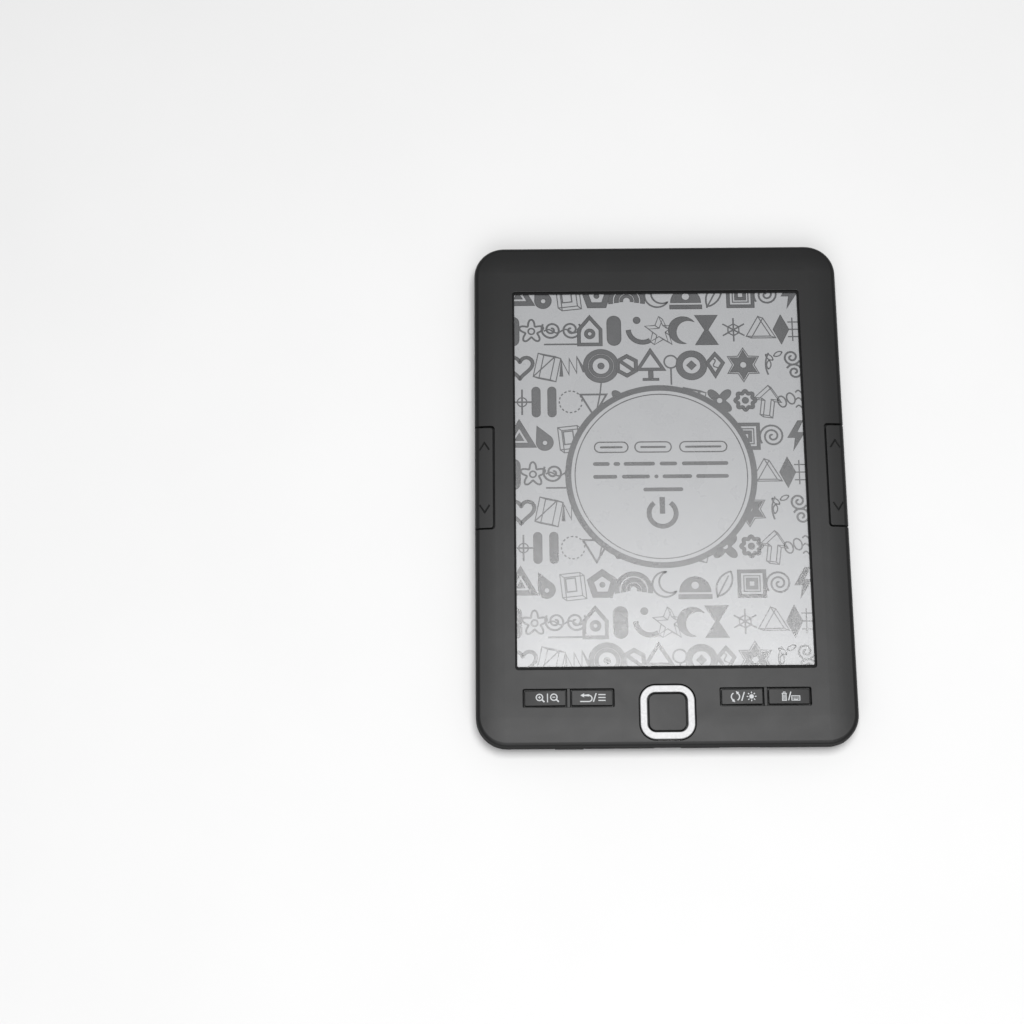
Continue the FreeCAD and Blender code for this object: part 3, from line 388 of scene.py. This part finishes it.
def trim(mesh, within):
    """Cuts thin solids at a rectangle's four sides and closes the cuts."""
    form = bmesh.new()
    form.from_mesh(mesh)
    bmesh.ops.remove_doubles(form, verts=form.verts, dist=1e-9)
    x0, y0, x1, y1 = (v * MM for v in within)
    for point, way in (((x0, 0, 0), (-1, 0, 0)), ((x1, 0, 0), (1, 0, 0)), ((0, y0, 0), (0, -1, 0)),
                       ((0, y1, 0), (0, 1, 0))):
        parts = form.verts[:] + form.edges[:] + form.faces[:]
        sliced = bmesh.ops.bisect_plane(form, geom=parts, dist=1e-8, plane_co=point, plane_no=way,
                                        clear_outer=True)
        edges = [e for e in sliced["geom_cut"] if isinstance(e, bmesh.types.BMEdge)]
        rims = [e for e in edges if e.is_boundary]
        bmesh.ops.holes_fill(form, edges=rims, sides=0)
    form.to_mesh(mesh)
    form.free()


TOP_STEP, TOP_STEPS = 0.0008, 9
CONTOUR_WIDTH, CONTOUR_FROM = 0.28, 0.8


class Sheet:
    """Collects flat shapes and raises them into thin closed solids. With an outliner, which is
    another sheet, each filled shape and bold line also gets a thin contour there."""

    def __init__(self, heights, outliner=None):
        self.low, self.high = heights
        self.outliner = outliner
        self.points, self.faces, self.count = [], [], 0

    def prism(self, ring, triangles):
        """One closed solid over a flat set of triangles; ring lists its boundary loops. Each solid
        ends at its own height, so that no two tops share a plane where shapes cross."""
        flat = [p for loop in ring for p in loop]
        base = len(self.points)
        n = len(flat)
        top = self.high + TOP_STEP * (self.count % TOP_STEPS)
        self.count += 1
        self.points += [(x, y, self.low) for x, y in flat] + [(x, y, top) for x, y in flat]
        for a, b, c in triangles:
            (ax, ay), (bx, by), (cx, cy) = flat[a], flat[b], flat[c]
            if (bx - ax) * (cy - ay) - (by - ay) * (cx - ax) < 0:
                b, c = c, b
            self.faces.append((base + n + a, base + n + b, base + n + c))
            self.faces.append((base + c, base + b, base + a))
        start = 0
        for loop in ring:
            m = len(loop)
            for i in range(m):
                here, following = base + start + i, base + start + (i + 1) % m
                self.faces.append((here, following, n + following, n + here))
            start += m

    def fill(self, outline, *holes):
        """Raises the inside of an outline, less its holes."""
        loops = [outline if area_twice(outline) >= 0 else outline[::-1]]
        loops += [hole if area_twice(hole) < 0 else hole[::-1] for hole in holes]
        solid = tessellate_polygon([[Vector((x, y, 0)) for x, y in loop] for loop in loops])
        self.prism(loops, solid)
        self.contour(loops)

    def stroke(self, path, width, closed=False):
        """Raises a line of one width along a path."""
        left, right = offset(path, width / 2, closed), offset(path, -width / 2, closed)
        n = len(path)
        if closed:
            quads = [(i, (i + 1) % n) for i in range(n)]
            triangles = [t for i, j in quads for t in ((i, j, n + j), (i, n + j, n + i))]
            loops = [right, left]
        else:
            m = 2 * n - 1
            triangles = []
            for i in range(n - 1):
                triangles += [(i, i + 1, m - i - 1), (i, m - i - 1, m - i)]
            loops = [right + left[::-1]]
        self.prism(loops, triangles)
        if width > CONTOUR_FROM:
            self.contour(loops)

    def contour(self, loops):
        """Draws the loops as thin lines on the outliner, if there is one."""
        if self.outliner:
            for loop in loops:
                self.outliner.stroke(loop, CONTOUR_WIDTH, True)

    def dashes(self, path, width, dash, gap):
        """A closed path drawn as separate dashes."""
        loop = path + path[:1]
        run, here = [loop[0]], 0.0
        inked = True
        for a, b in zip(loop, loop[1:]):
            length = math.hypot(b[0] - a[0], b[1] - a[1])
            done = 0.0
            while length - done > 1e-9:
                step = min((dash if inked else gap) - here, length - done)
                done += step
                here += step
                point = (a[0] + (b[0] - a[0]) * done / length, a[1] + (b[1] - a[1]) * done / length)
                if inked:
                    run.append(point)
                if here >= (dash if inked else gap) - 1e-9:
                    if inked and len(run) > 1:
                        self.stroke(run, width)
                    inked, here, run = not inked, 0.0, [point]
        if inked and len(run) > 2:
            self.stroke(run, width)

    def build(self, name, material, body, slot_name, surface=None, within=None):
        """Makes the object. surface gives the height in mm that the drawing lies on for each x,
        and within the rectangle (x0, y0, x1, y1) in mm that it is trimmed to."""
        mesh = bpy.data.meshes.new(name)
        lift = surface or (lambda x: 0.0)
        corners = [(x * MM, y * MM, (z + lift(x)) * MM) for x, y, z in self.points]
        mesh.from_pydata(corners, [], self.faces)
        mesh.validate()
        if within:
            trim(mesh, within)
        mesh.materials.append(material)
        piece = bpy.data.objects.new(name, mesh)
        bpy.context.scene.collection.objects.link(piece)
        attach(piece, body)


# ---- the screen picture -------------------------------------------------------------------------
film_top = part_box("epaper_film")[1].z / MM
BOLD, MID, THIN = 1.75, 0.95, 0.42
WIRE = THIN * 0.8


def petals(count, radius, depth, steps=72):
    points = []
    for i in range(steps):
        t = math.tau * i / steps
        reach = radius + depth * math.cos(count * t)
        points.append((reach * math.sin(t), reach * math.cos(t)))
    return points


def spiral(turns, radius, steps=48):
    """A spiral that starts a little way out from its centre."""
    points = []
    for i in range(4, steps + 1):
        t = math.tau * turns * i / steps
        reach = radius * i / steps
        points.append((reach * math.cos(t), reach * math.sin(t)))
    return points


def heart(size, steps=40):
    points = []
    for i in range(steps):
        t = math.tau * i / steps
        points.append((size * math.sin(t) ** 3,
                       size * (0.81 * math.cos(t) - 0.32 * math.cos(2 * t) - 0.13 * math.cos(3 * t)
                               - 0.06 * math.cos(4 * t))))
    return points


def drop(size):
    return [(0, size)] + arc(size * 0.62, 30, -210, 28, (0, -size * 0.38))


def crescent(size):
    return arc(size, 60, 300, 28) + arc(size * 0.86, 280, 80, 24, (size * 0.42, 0))


def leaf(size):
    bend, side = size * 1.3, size * 0.84
    return arc(bend, -50, 50, 16, (-side, 0)) + arc(bend, 130, 230, 16, (side, 0))


BOLT = ((0.1, 1), (-0.55, -0.1), (-0.08, -0.1), (-0.25, -1), (0.5, 0.22), (0.02, 0.22), (0.42, 1))
HOUSE = ((-0.75, -1), (0.75, -1), (0.75, 0.1), (0, 1), (-0.75, 0.1))
HOURGLASS = ((-0.72, 1), (0.72, 1), (0.1, 0), (0.72, -1), (-0.72, -1), (-0.1, 0))
DIAMOND = ((0, 1), (0.5, 0), (0, -1), (-0.5, 0))
KITE = ((0, 0.75), (0.5, 0.15), (0, -0.7), (-0.5, 0.15))
ARROW = ((-0.3, -1), (0.3, -1), (0.3, 0.1), (0.75, 0.1), (0, 1), (-0.75, 0.1), (-0.3, 0.1))


def sized(points, size):
    return [(x * size, y * size) for x, y in points]


def box_outline(w, h):
    return [(-w, -h), (w, -h), (w, h), (-w, h)]


def capsule(w, h):
    return arc(w, 0, 180, 12, (0, h - w)) + arc(w, 180, 360, 12, (0, w - h))


def wave(width, height, cycles, steps=40):
    return [(width * (i / steps - 0.5), height * math.sin(math.tau * cycles * i / steps))
            for i in range(steps + 1)]


def zigzag(width, height, teeth):
    return [(width * (i / (2 * teeth) - 0.5), height * (1 if i % 2 else -1))
            for i in range(2 * teeth + 1)]


def block_outline(sheet, points, depth=(1.3, -1.0)):
    """A shape drawn as a thin wire box: front, shifted back and the lines that join them."""
    back = [(x + depth[0], y + depth[1]) for x, y in points]
    sheet.stroke(points, WIRE, True)
    sheet.stroke(back, WIRE, True)
    step = max(1, len(points) // 8)
    for a, b in list(zip(points, back))[::step]:
        sheet.stroke([a, b], WIRE)


def doodle(sheet, kind, at, h):
    """One shape of the page pattern, h mm tall, round a centre."""
    r = h / 2

    def put(points, angle=0.0):
        return turned(points, math.radians(angle), at)

    def shifted(points, dx, dy):
        return [(at[0] + dx + x, at[1] + dy + y) for x, y in points]

    if kind == "triangles":
        sheet.stroke(put(polygon(3, r * 0.95)), BOLD * 0.8, True)
        sheet.fill(put(polygon(3, r * 0.32)))
    elif kind == "drop":
        sheet.fill(put(drop(r * 0.86), 24), put(circle(r * 0.17, 20, (0, -r * 0.36)), 24))
    elif kind == "cube":
        block_outline(sheet, put(box_outline(r * 0.62, r * 0.74), 6))
        sheet.stroke(put(box_outline(r * 0.3, r * 0.42), 6), THIN, True)
    elif kind == "pentagon":
        sheet.stroke(put(polygon(5, r * 0.78)), BOLD, True)
        sheet.fill(put(circle(r * 0.16, 20)))
    elif kind == "rainbow":
        for part, width in ((0.92, BOLD * 0.75), (0.58, BOLD * 0.75), (0.3, MID)):
            sheet.stroke(put(arc(r * part * 1.12, -10, 190, 30, (0, -r * 0.35))), width)
    elif kind == "crescent":
        sheet.stroke(put(crescent(r * 0.8), 25), THIN * 1.4, True)
    elif kind == "half_disc":
        hole = put(circle(r * 0.26, 24, (0, -r * 0.08)))
        sheet.fill(put(arc(r * 0.96, 0, 180, 32, (0, -r * 0.5))), hole)
        sheet.fill(shifted(box_outline(r * 1.02, r * 0.13), 0, -r * 0.8))
    elif kind == "leaf":
        sheet.stroke(put(leaf(r * 0.9), -28), THIN * 1.4, True)
        sheet.stroke(put([(0, -r), (0, r * 0.6)], -28), THIN * 1.2)
    elif kind == "squares":
        for part, width in ((0.78, MID), (0.5, THIN), (0.26, MID)):
            sheet.stroke(put(box_outline(r * part, r * part)), width, True)
    elif kind == "spiral":
        sheet.stroke(put(spiral(2.6, r * 0.82)), THIN * 1.5)
    elif kind == "bolt":
        sheet.fill(put(sized(BOLT, r)))
    elif kind == "flower":
        sheet.stroke(put(petals(5, r * 0.6, r * 0.2)), THIN * 1.5, True)
        sheet.stroke(put(circle(r * 0.2, 20)), THIN * 1.3, True)
    elif kind == "scrolls":
        for sign in (-1, 1):
            curl = [(sign * (x + r * 0.62), y + r * 0.1) for x, y in spiral(2.1, r * 0.66, 40)]
            sheet.stroke(put(curl), THIN * 1.6)
        sheet.stroke(put([(-r * 1.1, -r * 0.9), (r * 1.1, -r * 0.9)]), THIN * 1.3)
        sheet.stroke(put(wave(r * 2.2, r * 0.12, 2)), THIN * 1.2)
    elif kind == "house":
        sheet.stroke(put(sized(HOUSE, r * 0.92)), MID, True)
        sheet.stroke(put(circle(r * 0.24, 20, (0, -r * 0.2))), MID, True)
    elif kind == "capsule":
        sheet.fill(put(capsule(r * 0.44, r)))
    elif kind == "comet":
        sheet.fill(put(circle(r * 0.22, 20, (r * 0.2, r * 0.7))))
        sheet.stroke(put(arc(r * 0.9, 185, 300, 18, (r * 0.55, r * 0.1))), BOLD * 0.8)
    elif kind == "block_star":
        block_outline(sheet, put(star(5, r * 0.95, r * 0.42)))
    elif kind == "moon":
        sheet.fill(put(crescent(r * 0.92), -20))
    elif kind == "hourglass":
        sheet.fill(put(sized(HOURGLASS, r)))
    elif kind == "snow":
        for k in range(3):
            sheet.stroke(put([(0, -r * 0.8), (0, r * 0.8)], 60 * k), THIN * 1.2)
        sheet.stroke(put(polygon(6, r * 0.4)), THIN, True)
    elif kind == "block_prism":
        block_outline(sheet, put(polygon(3, r * 0.9)), (1.6, -0.6))
    elif kind == "diamond":
        sheet.fill(put(sized(DIAMOND, r)))
    elif kind == "grid":
        for k in (-1, 0, 1):
            sheet.stroke(put([(r * 0.5 * k, -r * 0.8), (r * 0.5 * k, r * 0.8)]), THIN)
            sheet.stroke(put([(-r * 0.8, r * 0.5 * k), (r * 0.8, r * 0.5 * k)]), THIN)
    elif kind == "heart":
        sheet.stroke(put(heart(r * 0.82)), MID, True)
    elif kind == "block_cube":
        block_outline(sheet, put(box_outline(r * 0.55, r * 0.8), -12), (1.8, -0.7))
        sheet.stroke(put([(-r * 0.55, -r * 0.8), (r * 0.55, r * 0.8)], -12), THIN)
    elif kind == "zigzag":
        sheet.stroke(put(zigzag(r * 1.5, r * 0.52, 3), 12), MID)
    elif kind == "balloon":
        sheet.stroke(put(circle(r * 0.98, 48)), MID * 1.5, True)
        sheet.stroke(put(circle(r * 0.66, 40)), MID * 1.1, True)
        sheet.fill(put(circle(r * 0.2, 24)))
        sheet.stroke(put([(0, -r * 1.1), (-r * 0.1, -r * 1.9), (-r * 0.35, -r * 3.1)]), THIN * 1.1)
    elif kind == "hexagon":
        sheet.stroke(put(polygon(6, r * 0.66)), MID * 1.1, True)
        sheet.stroke(put([(-r * 0.4, r * 0.3), (r * 0.4, -r * 0.3)]), MID)
    elif kind == "tree":
        sheet.stroke(put([(-r * 0.8, -r * 0.25), (r * 0.8, -r * 0.25), (0, r)]), MID, True)
        sheet.fill(shifted(box_outline(r * 0.14, r * 0.3), 0, -r * 0.62))
        sheet.fill(shifted(box_outline(r * 0.5, r * 0.07), 0, -r * 0.93))
    elif kind == "pin":
        sheet.stroke(put(circle(r * 0.42, 28, (0, r * 0.25))), THIN * 1.3, True)
        sheet.stroke(put([(0, -r * 0.2), (0, -r * 1.3)]), THIN * 1.3)
    elif kind == "eye":
        sheet.stroke(put(circle(r * 0.78, 40)), BOLD * 1.15, True)
        sheet.fill(put(polygon(4, r * 0.3)))
    elif kind == "kite":
        sheet.stroke(put(sized(KITE, r)), MID, True)
        sheet.stroke(put(wave(r * 0.9, r * 0.12, 1.5), -70), THIN)
    elif kind == "star":
        sheet.fill(put(star(6, r * 0.98, r * 0.55)), put(circle(r * 0.22, 20)))
        sheet.stroke(put(star(6, r * 1.14, r * 0.68)), THIN * 0.8, True)
    elif kind == "sprig":
        sheet.stroke(put(arc(r * 1.6, 150, 205, 16, (r * 1.3, 0))), THIN * 1.3)
        for k, (x, y) in enumerate(((-0.05, 0.5), (-0.1, 0.0), (0.5, 0.72))):
            sheet.stroke(shifted(turned(leaf(r * 0.3), 0.9 - k), x * r, y * r), THIN, True)
    elif kind == "double_spiral":
        for sign in (-1, 1):
            curl = [(sign * x, sign * (y + r * 0.5)) for x, y in spiral(1.9, r * 0.55, 36)]
            sheet.stroke(put(curl, 10), THIN * 1.6)
    elif kind == "plus":
        sheet.stroke(put([(-r * 0.6, 0), (r * 0.6, 0)]), THIN * 1.4)
        sheet.stroke(put([(0, -r * 0.85), (0, r * 0.85)]), THIN * 1.4)
        sheet.stroke(put(circle(r * 0.3, 20)), THIN, True)
    elif kind == "columns":
        for sign in (-1, 1):
            sheet.fill(shifted(capsule(r * 0.26, r), sign * r * 0.5, 0))
    elif kind == "dashed_ring":
        sheet.dashes(put(circle(r * 0.72, 48)), THIN, 0.8, 0.6)
    elif kind == "funnel":
        sheet.stroke(put(polygon(3, r * 0.95, -90)), THIN * 1.5, True)
    elif kind == "clover":
        sheet.fill(put(petals(4, r * 0.66, r * 0.3), 45), put(circle(r * 0.2, 20)))
    elif kind == "wheel":
        sheet.stroke(put(petals(8, r * 0.56, r * 0.08)), MID, True)
        sheet.fill(put(circle(r * 0.2, 20)))
    elif kind == "block_arrow":
        block_outline(sheet, put(sized(ARROW, r), -8), (1.0, -0.8))
    elif kind == "bow":
        for sign in (-1, 1):
            loop = [(sign * (x * 0.5 + r * 0.3), y * 0.75) for x, y in circle(r * 0.5, 24)]
            sheet.stroke(put(loop, 20), THIN * 1.2, True)
    elif kind == "ripples":
        for k in (-1, 0, 1):
            sheet.stroke(shifted(wave(r * 1.1, r * 0.14, 1.5), 0, k * r * 0.5), THIN * 1.2)


# centre in mm across the page, and the shape there, for the four rows that repeat down the page
ROWS = (
    ((-44.4, "triangles"), (-37.0, "drop"), (-28.7, "cube"), (-19.0, "pentagon"),
     (-9.3, "rainbow"), (0.6, "crescent"), (9.8, "half_disc"), (18.9, "leaf"), (27.5, "squares"),
     (35.9, "spiral"), (43.6, "bolt")),
    ((-46.4, "capsule"), (-40.2, "flower"), (-30.6, "scrolls"), (-21.4, "house"),
     (-13.6, "capsule"), (-7.2, "comet"), (0.9, "block_star"), (8.6, "moon"),
     (16.2, "hourglass"), (24.9, "snow"), (32.9, "block_prism"), (40.2, "diamond"),
     (46.4, "grid")),
    ((-44.0, "heart"), (-36.2, "block_cube"), (-27.6, "zigzag"), (-18.0, "balloon"),
     (-9.7, "hexagon"), (-2.1, "tree"), (4.4, "pin"), (11.0, "eye"), (18.6, "kite"),
     (27.6, "star"), (36.3, "sprig"), (43.6, "double_spiral")),
    ((-43.4, "plus"), (-36.4, "columns"), (-27.9, "dashed_ring"), (-20.6, "funnel"),
     (-11.0, "clover"), (0.0, "wheel"), (10.0, "block_cube"), (19.6, "clover"),
     (27.8, "wheel"), (34.5, "block_arrow"), (40.9, "bow"), (46.6, "ripples")),
)
ROW_TOP, ROW_PITCH, ROW_TALL, ROW_COUNT = 65.4, 12.08, 10.1, 11
PAGE_EDGE = 0.3
BADGE_AT, BADGE_R, BADGE_RIM, BADGE_LINE_R = (0.3, 4.25), 30.3, 1.9, 27.2


def over_film(low, high):
    """The heights in mm between which a layer of ink lies, from its heights over the film."""
    return film_top + low, film_top + high


outlines = Sheet(over_film(0.010, 0.026))
art = Sheet(over_film(-0.004, 0.014), outlines)
for row in range(ROW_COUNT):
    middle_y = ROW_TOP - row * ROW_PITCH
    for x, kind in ROWS[row % len(ROWS)]:
        doodle(art, kind, (x, middle_y), ROW_TALL)

film_low, film_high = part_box("epaper_film")
page = (film_low.x / MM + PAGE_EDGE, film_low.y / MM + PAGE_EDGE,
        film_high.x / MM - PAGE_EDGE, film_high.y / MM - PAGE_EDGE)
art.build("screen_pattern", ink, "casing", "e_paper", within=page)
outlines.build("screen_outlines", ink_line, "casing", "e_paper", within=page)

badge = Sheet(over_film(-0.004, 0.038))
badge.fill(circle(BADGE_R, 128, BADGE_AT))
badge.build("screen_badge", looks["e_paper"], "casing", "e_paper")

mark = Sheet(over_film(0.034, 0.052))
fine_mark = Sheet(over_film(0.034, 0.052))
mark.stroke(circle(BADGE_R - BADGE_RIM / 2, 128, BADGE_AT), BADGE_RIM, True)
fine_mark.stroke(circle(BADGE_LINE_R, 128, BADGE_AT), 0.34, True)

# each row of bars that stands for words: its height on the page, the bars' height, and their ends
PILLS = (13.75, 3.4, ((-20.9, -10.3), (-8.1, 3.4), (6.1, 21.0)))
BARS = ((8.2, 1.25, ((-21.5, -16.2), (-15.0, -12.9), (-11.8, -1.9), (-0.4, 5.1), (6.6, 21.3))),
        (3.95, 1.25, ((-21.5, -13.9), (-12.4, -3.6), (-2.2, -0.9), (0.4, 9.7), (11.0, 21.3))),
        (-0.35, 1.25, ((-5.8, 6.8),)))


def lying_capsule(x0, x1, y, thick, inset=0.0):
    """A capsule between two ends across the badge, shortened by inset at each."""
    half = (x1 - x0) / 2 - inset
    return turned(capsule(thick / 2, half), math.pi / 2, ((x0 + x1) / 2 + BADGE_AT[0], y))


pill_y, pill_tall, pills = PILLS
for x0, x1 in pills:
    fine_mark.stroke(lying_capsule(x0, x1, pill_y, pill_tall), 0.42, True)
    fine_mark.fill(lying_capsule(x0, x1, pill_y, pill_tall / 5, pill_tall / 2))
for bar_y, bar_tall, bars in BARS:
    for x0, x1 in bars:
        mark.fill(lying_capsule(x0, x1, bar_y, bar_tall))

POWER_AT, POWER_R, POWER_STROKE = (0.35, -8.2), 4.25, 1.55
mark.stroke(arc(POWER_R, 127, 413, 48, POWER_AT), POWER_STROKE)
mark.fill(turned(box_outline(0.85, 2.75), 0, (POWER_AT[0], POWER_AT[1] + 2.6)))
mark.build("screen_marks", ink, "casing", "e_paper")
fine_mark.build("screen_fine_marks", ink_line, "casing", "e_paper")


# ---- key marks ----------------------------------------------------------------------------------
KEY_Y, KEY_PAIR_X = -67.2, 30.1
CROWN_TOP, CROWN_R = 9.12, 160.0


def crown(x):
    """Height in mm of a small key's top, which is crowned over the middle of its pair."""
    middle = KEY_PAIR_X if x > 0 else -KEY_PAIR_X
    return CROWN_TOP - CROWN_R + math.sqrt(CROWN_R ** 2 - (x - middle) ** 2)


def slash(sheet, x, y, lean=0.45):
    sheet.stroke([(x - lean, y - 1.35), (x + lean, y + 1.35)], 0.36)


def key_sheet():
    return Sheet((-0.012, 0.016))


lens = key_sheet()
for x, plus in ((-39.0, True), (-34.6, False)):
    lens.stroke(circle(0.98, 28, (x, KEY_Y + 0.25)), 0.34, True)
    lens.stroke([(x + 0.75, KEY_Y - 0.45), (x + 1.5, KEY_Y - 1.2)], 0.46)
    lens.stroke([(x - 0.45, KEY_Y + 0.25), (x + 0.45, KEY_Y + 0.25)], 0.26)
    if plus:
        lens.stroke([(x, KEY_Y - 0.2), (x, KEY_Y + 0.7)], 0.26)
lens.stroke([(-36.55, KEY_Y - 1.3), (-36.55, KEY_Y + 1.4)], 0.3)
lens.build("mark_zoom", key_print, "zoom_key", "key_black", crown)

back = key_sheet()
BEND_AT, BEND_R = (-23.9, KEY_Y - 0.2), 0.95
arrow = [(-25.6, KEY_Y + 0.75), (-23.9, KEY_Y + 0.75)]
arrow += arc(BEND_R, 90, -90, 14, BEND_AT) + [(-26.6, KEY_Y - 1.15)]
back.stroke(arrow, 0.34)
back.fill([(-26.5, KEY_Y + 0.75), (-25.35, KEY_Y + 1.4), (-25.35, KEY_Y + 0.1)])
slash(back, -22.1, KEY_Y + 0.1)
for k in (-1, 0, 1):
    back.stroke([(-21.0, KEY_Y + 0.1 + 0.9 * k), (-18.8, KEY_Y + 0.1 + 0.9 * k)], 0.34)
back.build("mark_back", key_print, "back_key", "key_black", crown)

light = key_sheet()
REFRESH_AT, SUN_X = (20.85, KEY_Y), 25.75
for half in (0, math.pi):
    light.stroke(turned(arc(1.25, -62, 62, 18), half, REFRESH_AT), 0.36)
    light.fill(turned([(0.15, 1.75), (1.15, 1.35), (0.45, 0.65)], half, REFRESH_AT))
slash(light, 23.15, KEY_Y + 0.05)
light.fill(circle(0.68, 24, (SUN_X, KEY_Y)))
for k in range(8):
    light.stroke(turned([(0.98, 0.0), (1.48, 0.0)], math.tau * k / 8, (SUN_X, KEY_Y)), 0.3)
light.build("mark_light", key_print, "light_key", "key_black", crown)

bin_marks = key_sheet()
BIN_X, BOARD_X = 35.75, 39.25
BIN_LINES = ((((-0.55, 0.75), (-0.62, -1.3), (0.62, -1.3), (0.55, 0.75)), 0.24),
             (((-0.78, 0.85), (0.78, 0.85)), 0.24),
             (((-0.3, 0.95), (-0.3, 1.3), (0.3, 1.3), (0.3, 0.95)), 0.2),
             (((-0.3, -1.1), (-0.27, 0.5)), 0.15),
             (((0.0, -1.1), (0.0, 0.5)), 0.15),
             (((0.3, -1.1), (0.27, 0.5)), 0.15))
for line, width in BIN_LINES:
    bin_marks.stroke([(BIN_X + x, KEY_Y + y) for x, y in line], width)
slash(bin_marks, 37.4, KEY_Y + 0.05, 0.4)
bin_marks.stroke(turned(box_outline(1.25, 0.68), 0, (BOARD_X, KEY_Y - 0.55)), 0.24, True)
for row_y in (-0.7, -0.3):
    for k in range(-2, 3):
        cap_at = (BOARD_X + 0.44 * k, KEY_Y + row_y)
        bin_marks.fill(turned(box_outline(0.13, 0.11), 0, cap_at))
bin_marks.fill(turned(box_outline(0.62, 0.09), 0, (BOARD_X, KEY_Y - 0.98)))
bin_marks.build("mark_delete", key_print, "delete_key", "key_black", crown)


def snap_dome(node):
    """The spring caps of one CAD node, copied into a piece of their own that rides on the casing,
    with the CAD node hidden.
    """
    source = frame["nodes"][node]
    caps = bpy.data.objects.new("sprung_" + node, source.data.copy())
    caps.matrix_world = source.matrix_world.copy()
    bpy.context.scene.collection.objects.link(caps)
    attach(caps, "casing")
    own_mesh(caps)
    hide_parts(node)


DOMES = {"dome_zoom": "zoom_press", "dome_back": "back_press", "dome_light": "light_press",
         "dome_delete": "delete_press", "nav_centre_dome": "confirm_press",
         "nav_direction_domes": "direction_up_down", "side_domes_left": "left_page_rock",
         "side_domes_right": "right_page_rock"}
for node, joint in DOMES.items():
    snap_dome(node)


# ---- studio -------------------------------------------------------------------------------------
def area_light(name, at, aim, size, power):
    data = bpy.data.lights.new(name, "AREA")
    data.shape = "RECTANGLE"
    data.size, data.size_y = size
    data.energy = power
    lamp = bpy.data.objects.new(name, data)
    lamp.location = at
    lamp.rotation_euler = (Vector(aim) - Vector(at)).to_track_quat("-Z", "Y").to_euler()
    bpy.context.scene.collection.objects.link(lamp)


FLOOR_REACH = 3.0
AMBIENT = 0.40
floor_mesh = bpy.data.meshes.new("floor")
floor_corners = [(x * FLOOR_REACH, y * FLOOR_REACH, 0) for x, y in box_outline(1, 1)]
floor_mesh.from_pydata(floor_corners, [], [(0, 1, 2, 3)])
floor_mesh.materials.append(pale_floor())
floor = bpy.data.objects.new("floor", floor_mesh)
bpy.context.scene.collection.objects.link(floor)

world = bpy.data.worlds.new("studio")
world.use_nodes = True
world.node_tree.nodes["Background"].inputs["Color"].default_value = (1, 1, 1, 1)
world.node_tree.nodes["Background"].inputs["Strength"].default_value = AMBIENT
bpy.context.scene.world = world
area_light("key_light", (0.035, 0.0, 0.95), (0, 0, 0), (0.40, 0.40), 7.8)
area_light("front_light", (-0.03, -0.70, 0.72), (0, -0.08, 0), (0.9, 0.6), 4.5)

# ---- camera -------------------------------------------------------------------------------------
CAMERA_AT = Vector((-47.155, -200.83, 648.989)) * MM
AZIMUTH, ELEVATION, ROLL = (math.radians(a) for a in (0.075, 73.214, -0.4))
FOCAL_PX, FRAME_PX = 2134.0, 1024.0
outward = math.cos(ELEVATION)
back_way = Vector((-math.sin(AZIMUTH) * outward, -math.cos(AZIMUTH) * outward,
                   math.sin(ELEVATION)))
level = Vector((math.cos(AZIMUTH), -math.sin(AZIMUTH), 0))
upright = back_way.cross(level)
side_way = math.cos(ROLL) * level + math.sin(ROLL) * upright
up_way = math.cos(ROLL) * upright - math.sin(ROLL) * level
turn = Matrix((side_way, up_way, back_way)).transposed().to_4x4()
camera = bpy.data.objects.new("camera", bpy.data.cameras.new("camera"))
camera.data.lens = FOCAL_PX / FRAME_PX * camera.data.sensor_width
camera.matrix_world = Matrix.Translation(CAMERA_AT) @ turn
bpy.context.scene.collection.objects.link(camera)
bpy.context.scene.camera = camera
bpy.context.scene.view_settings.view_transform = "Standard"
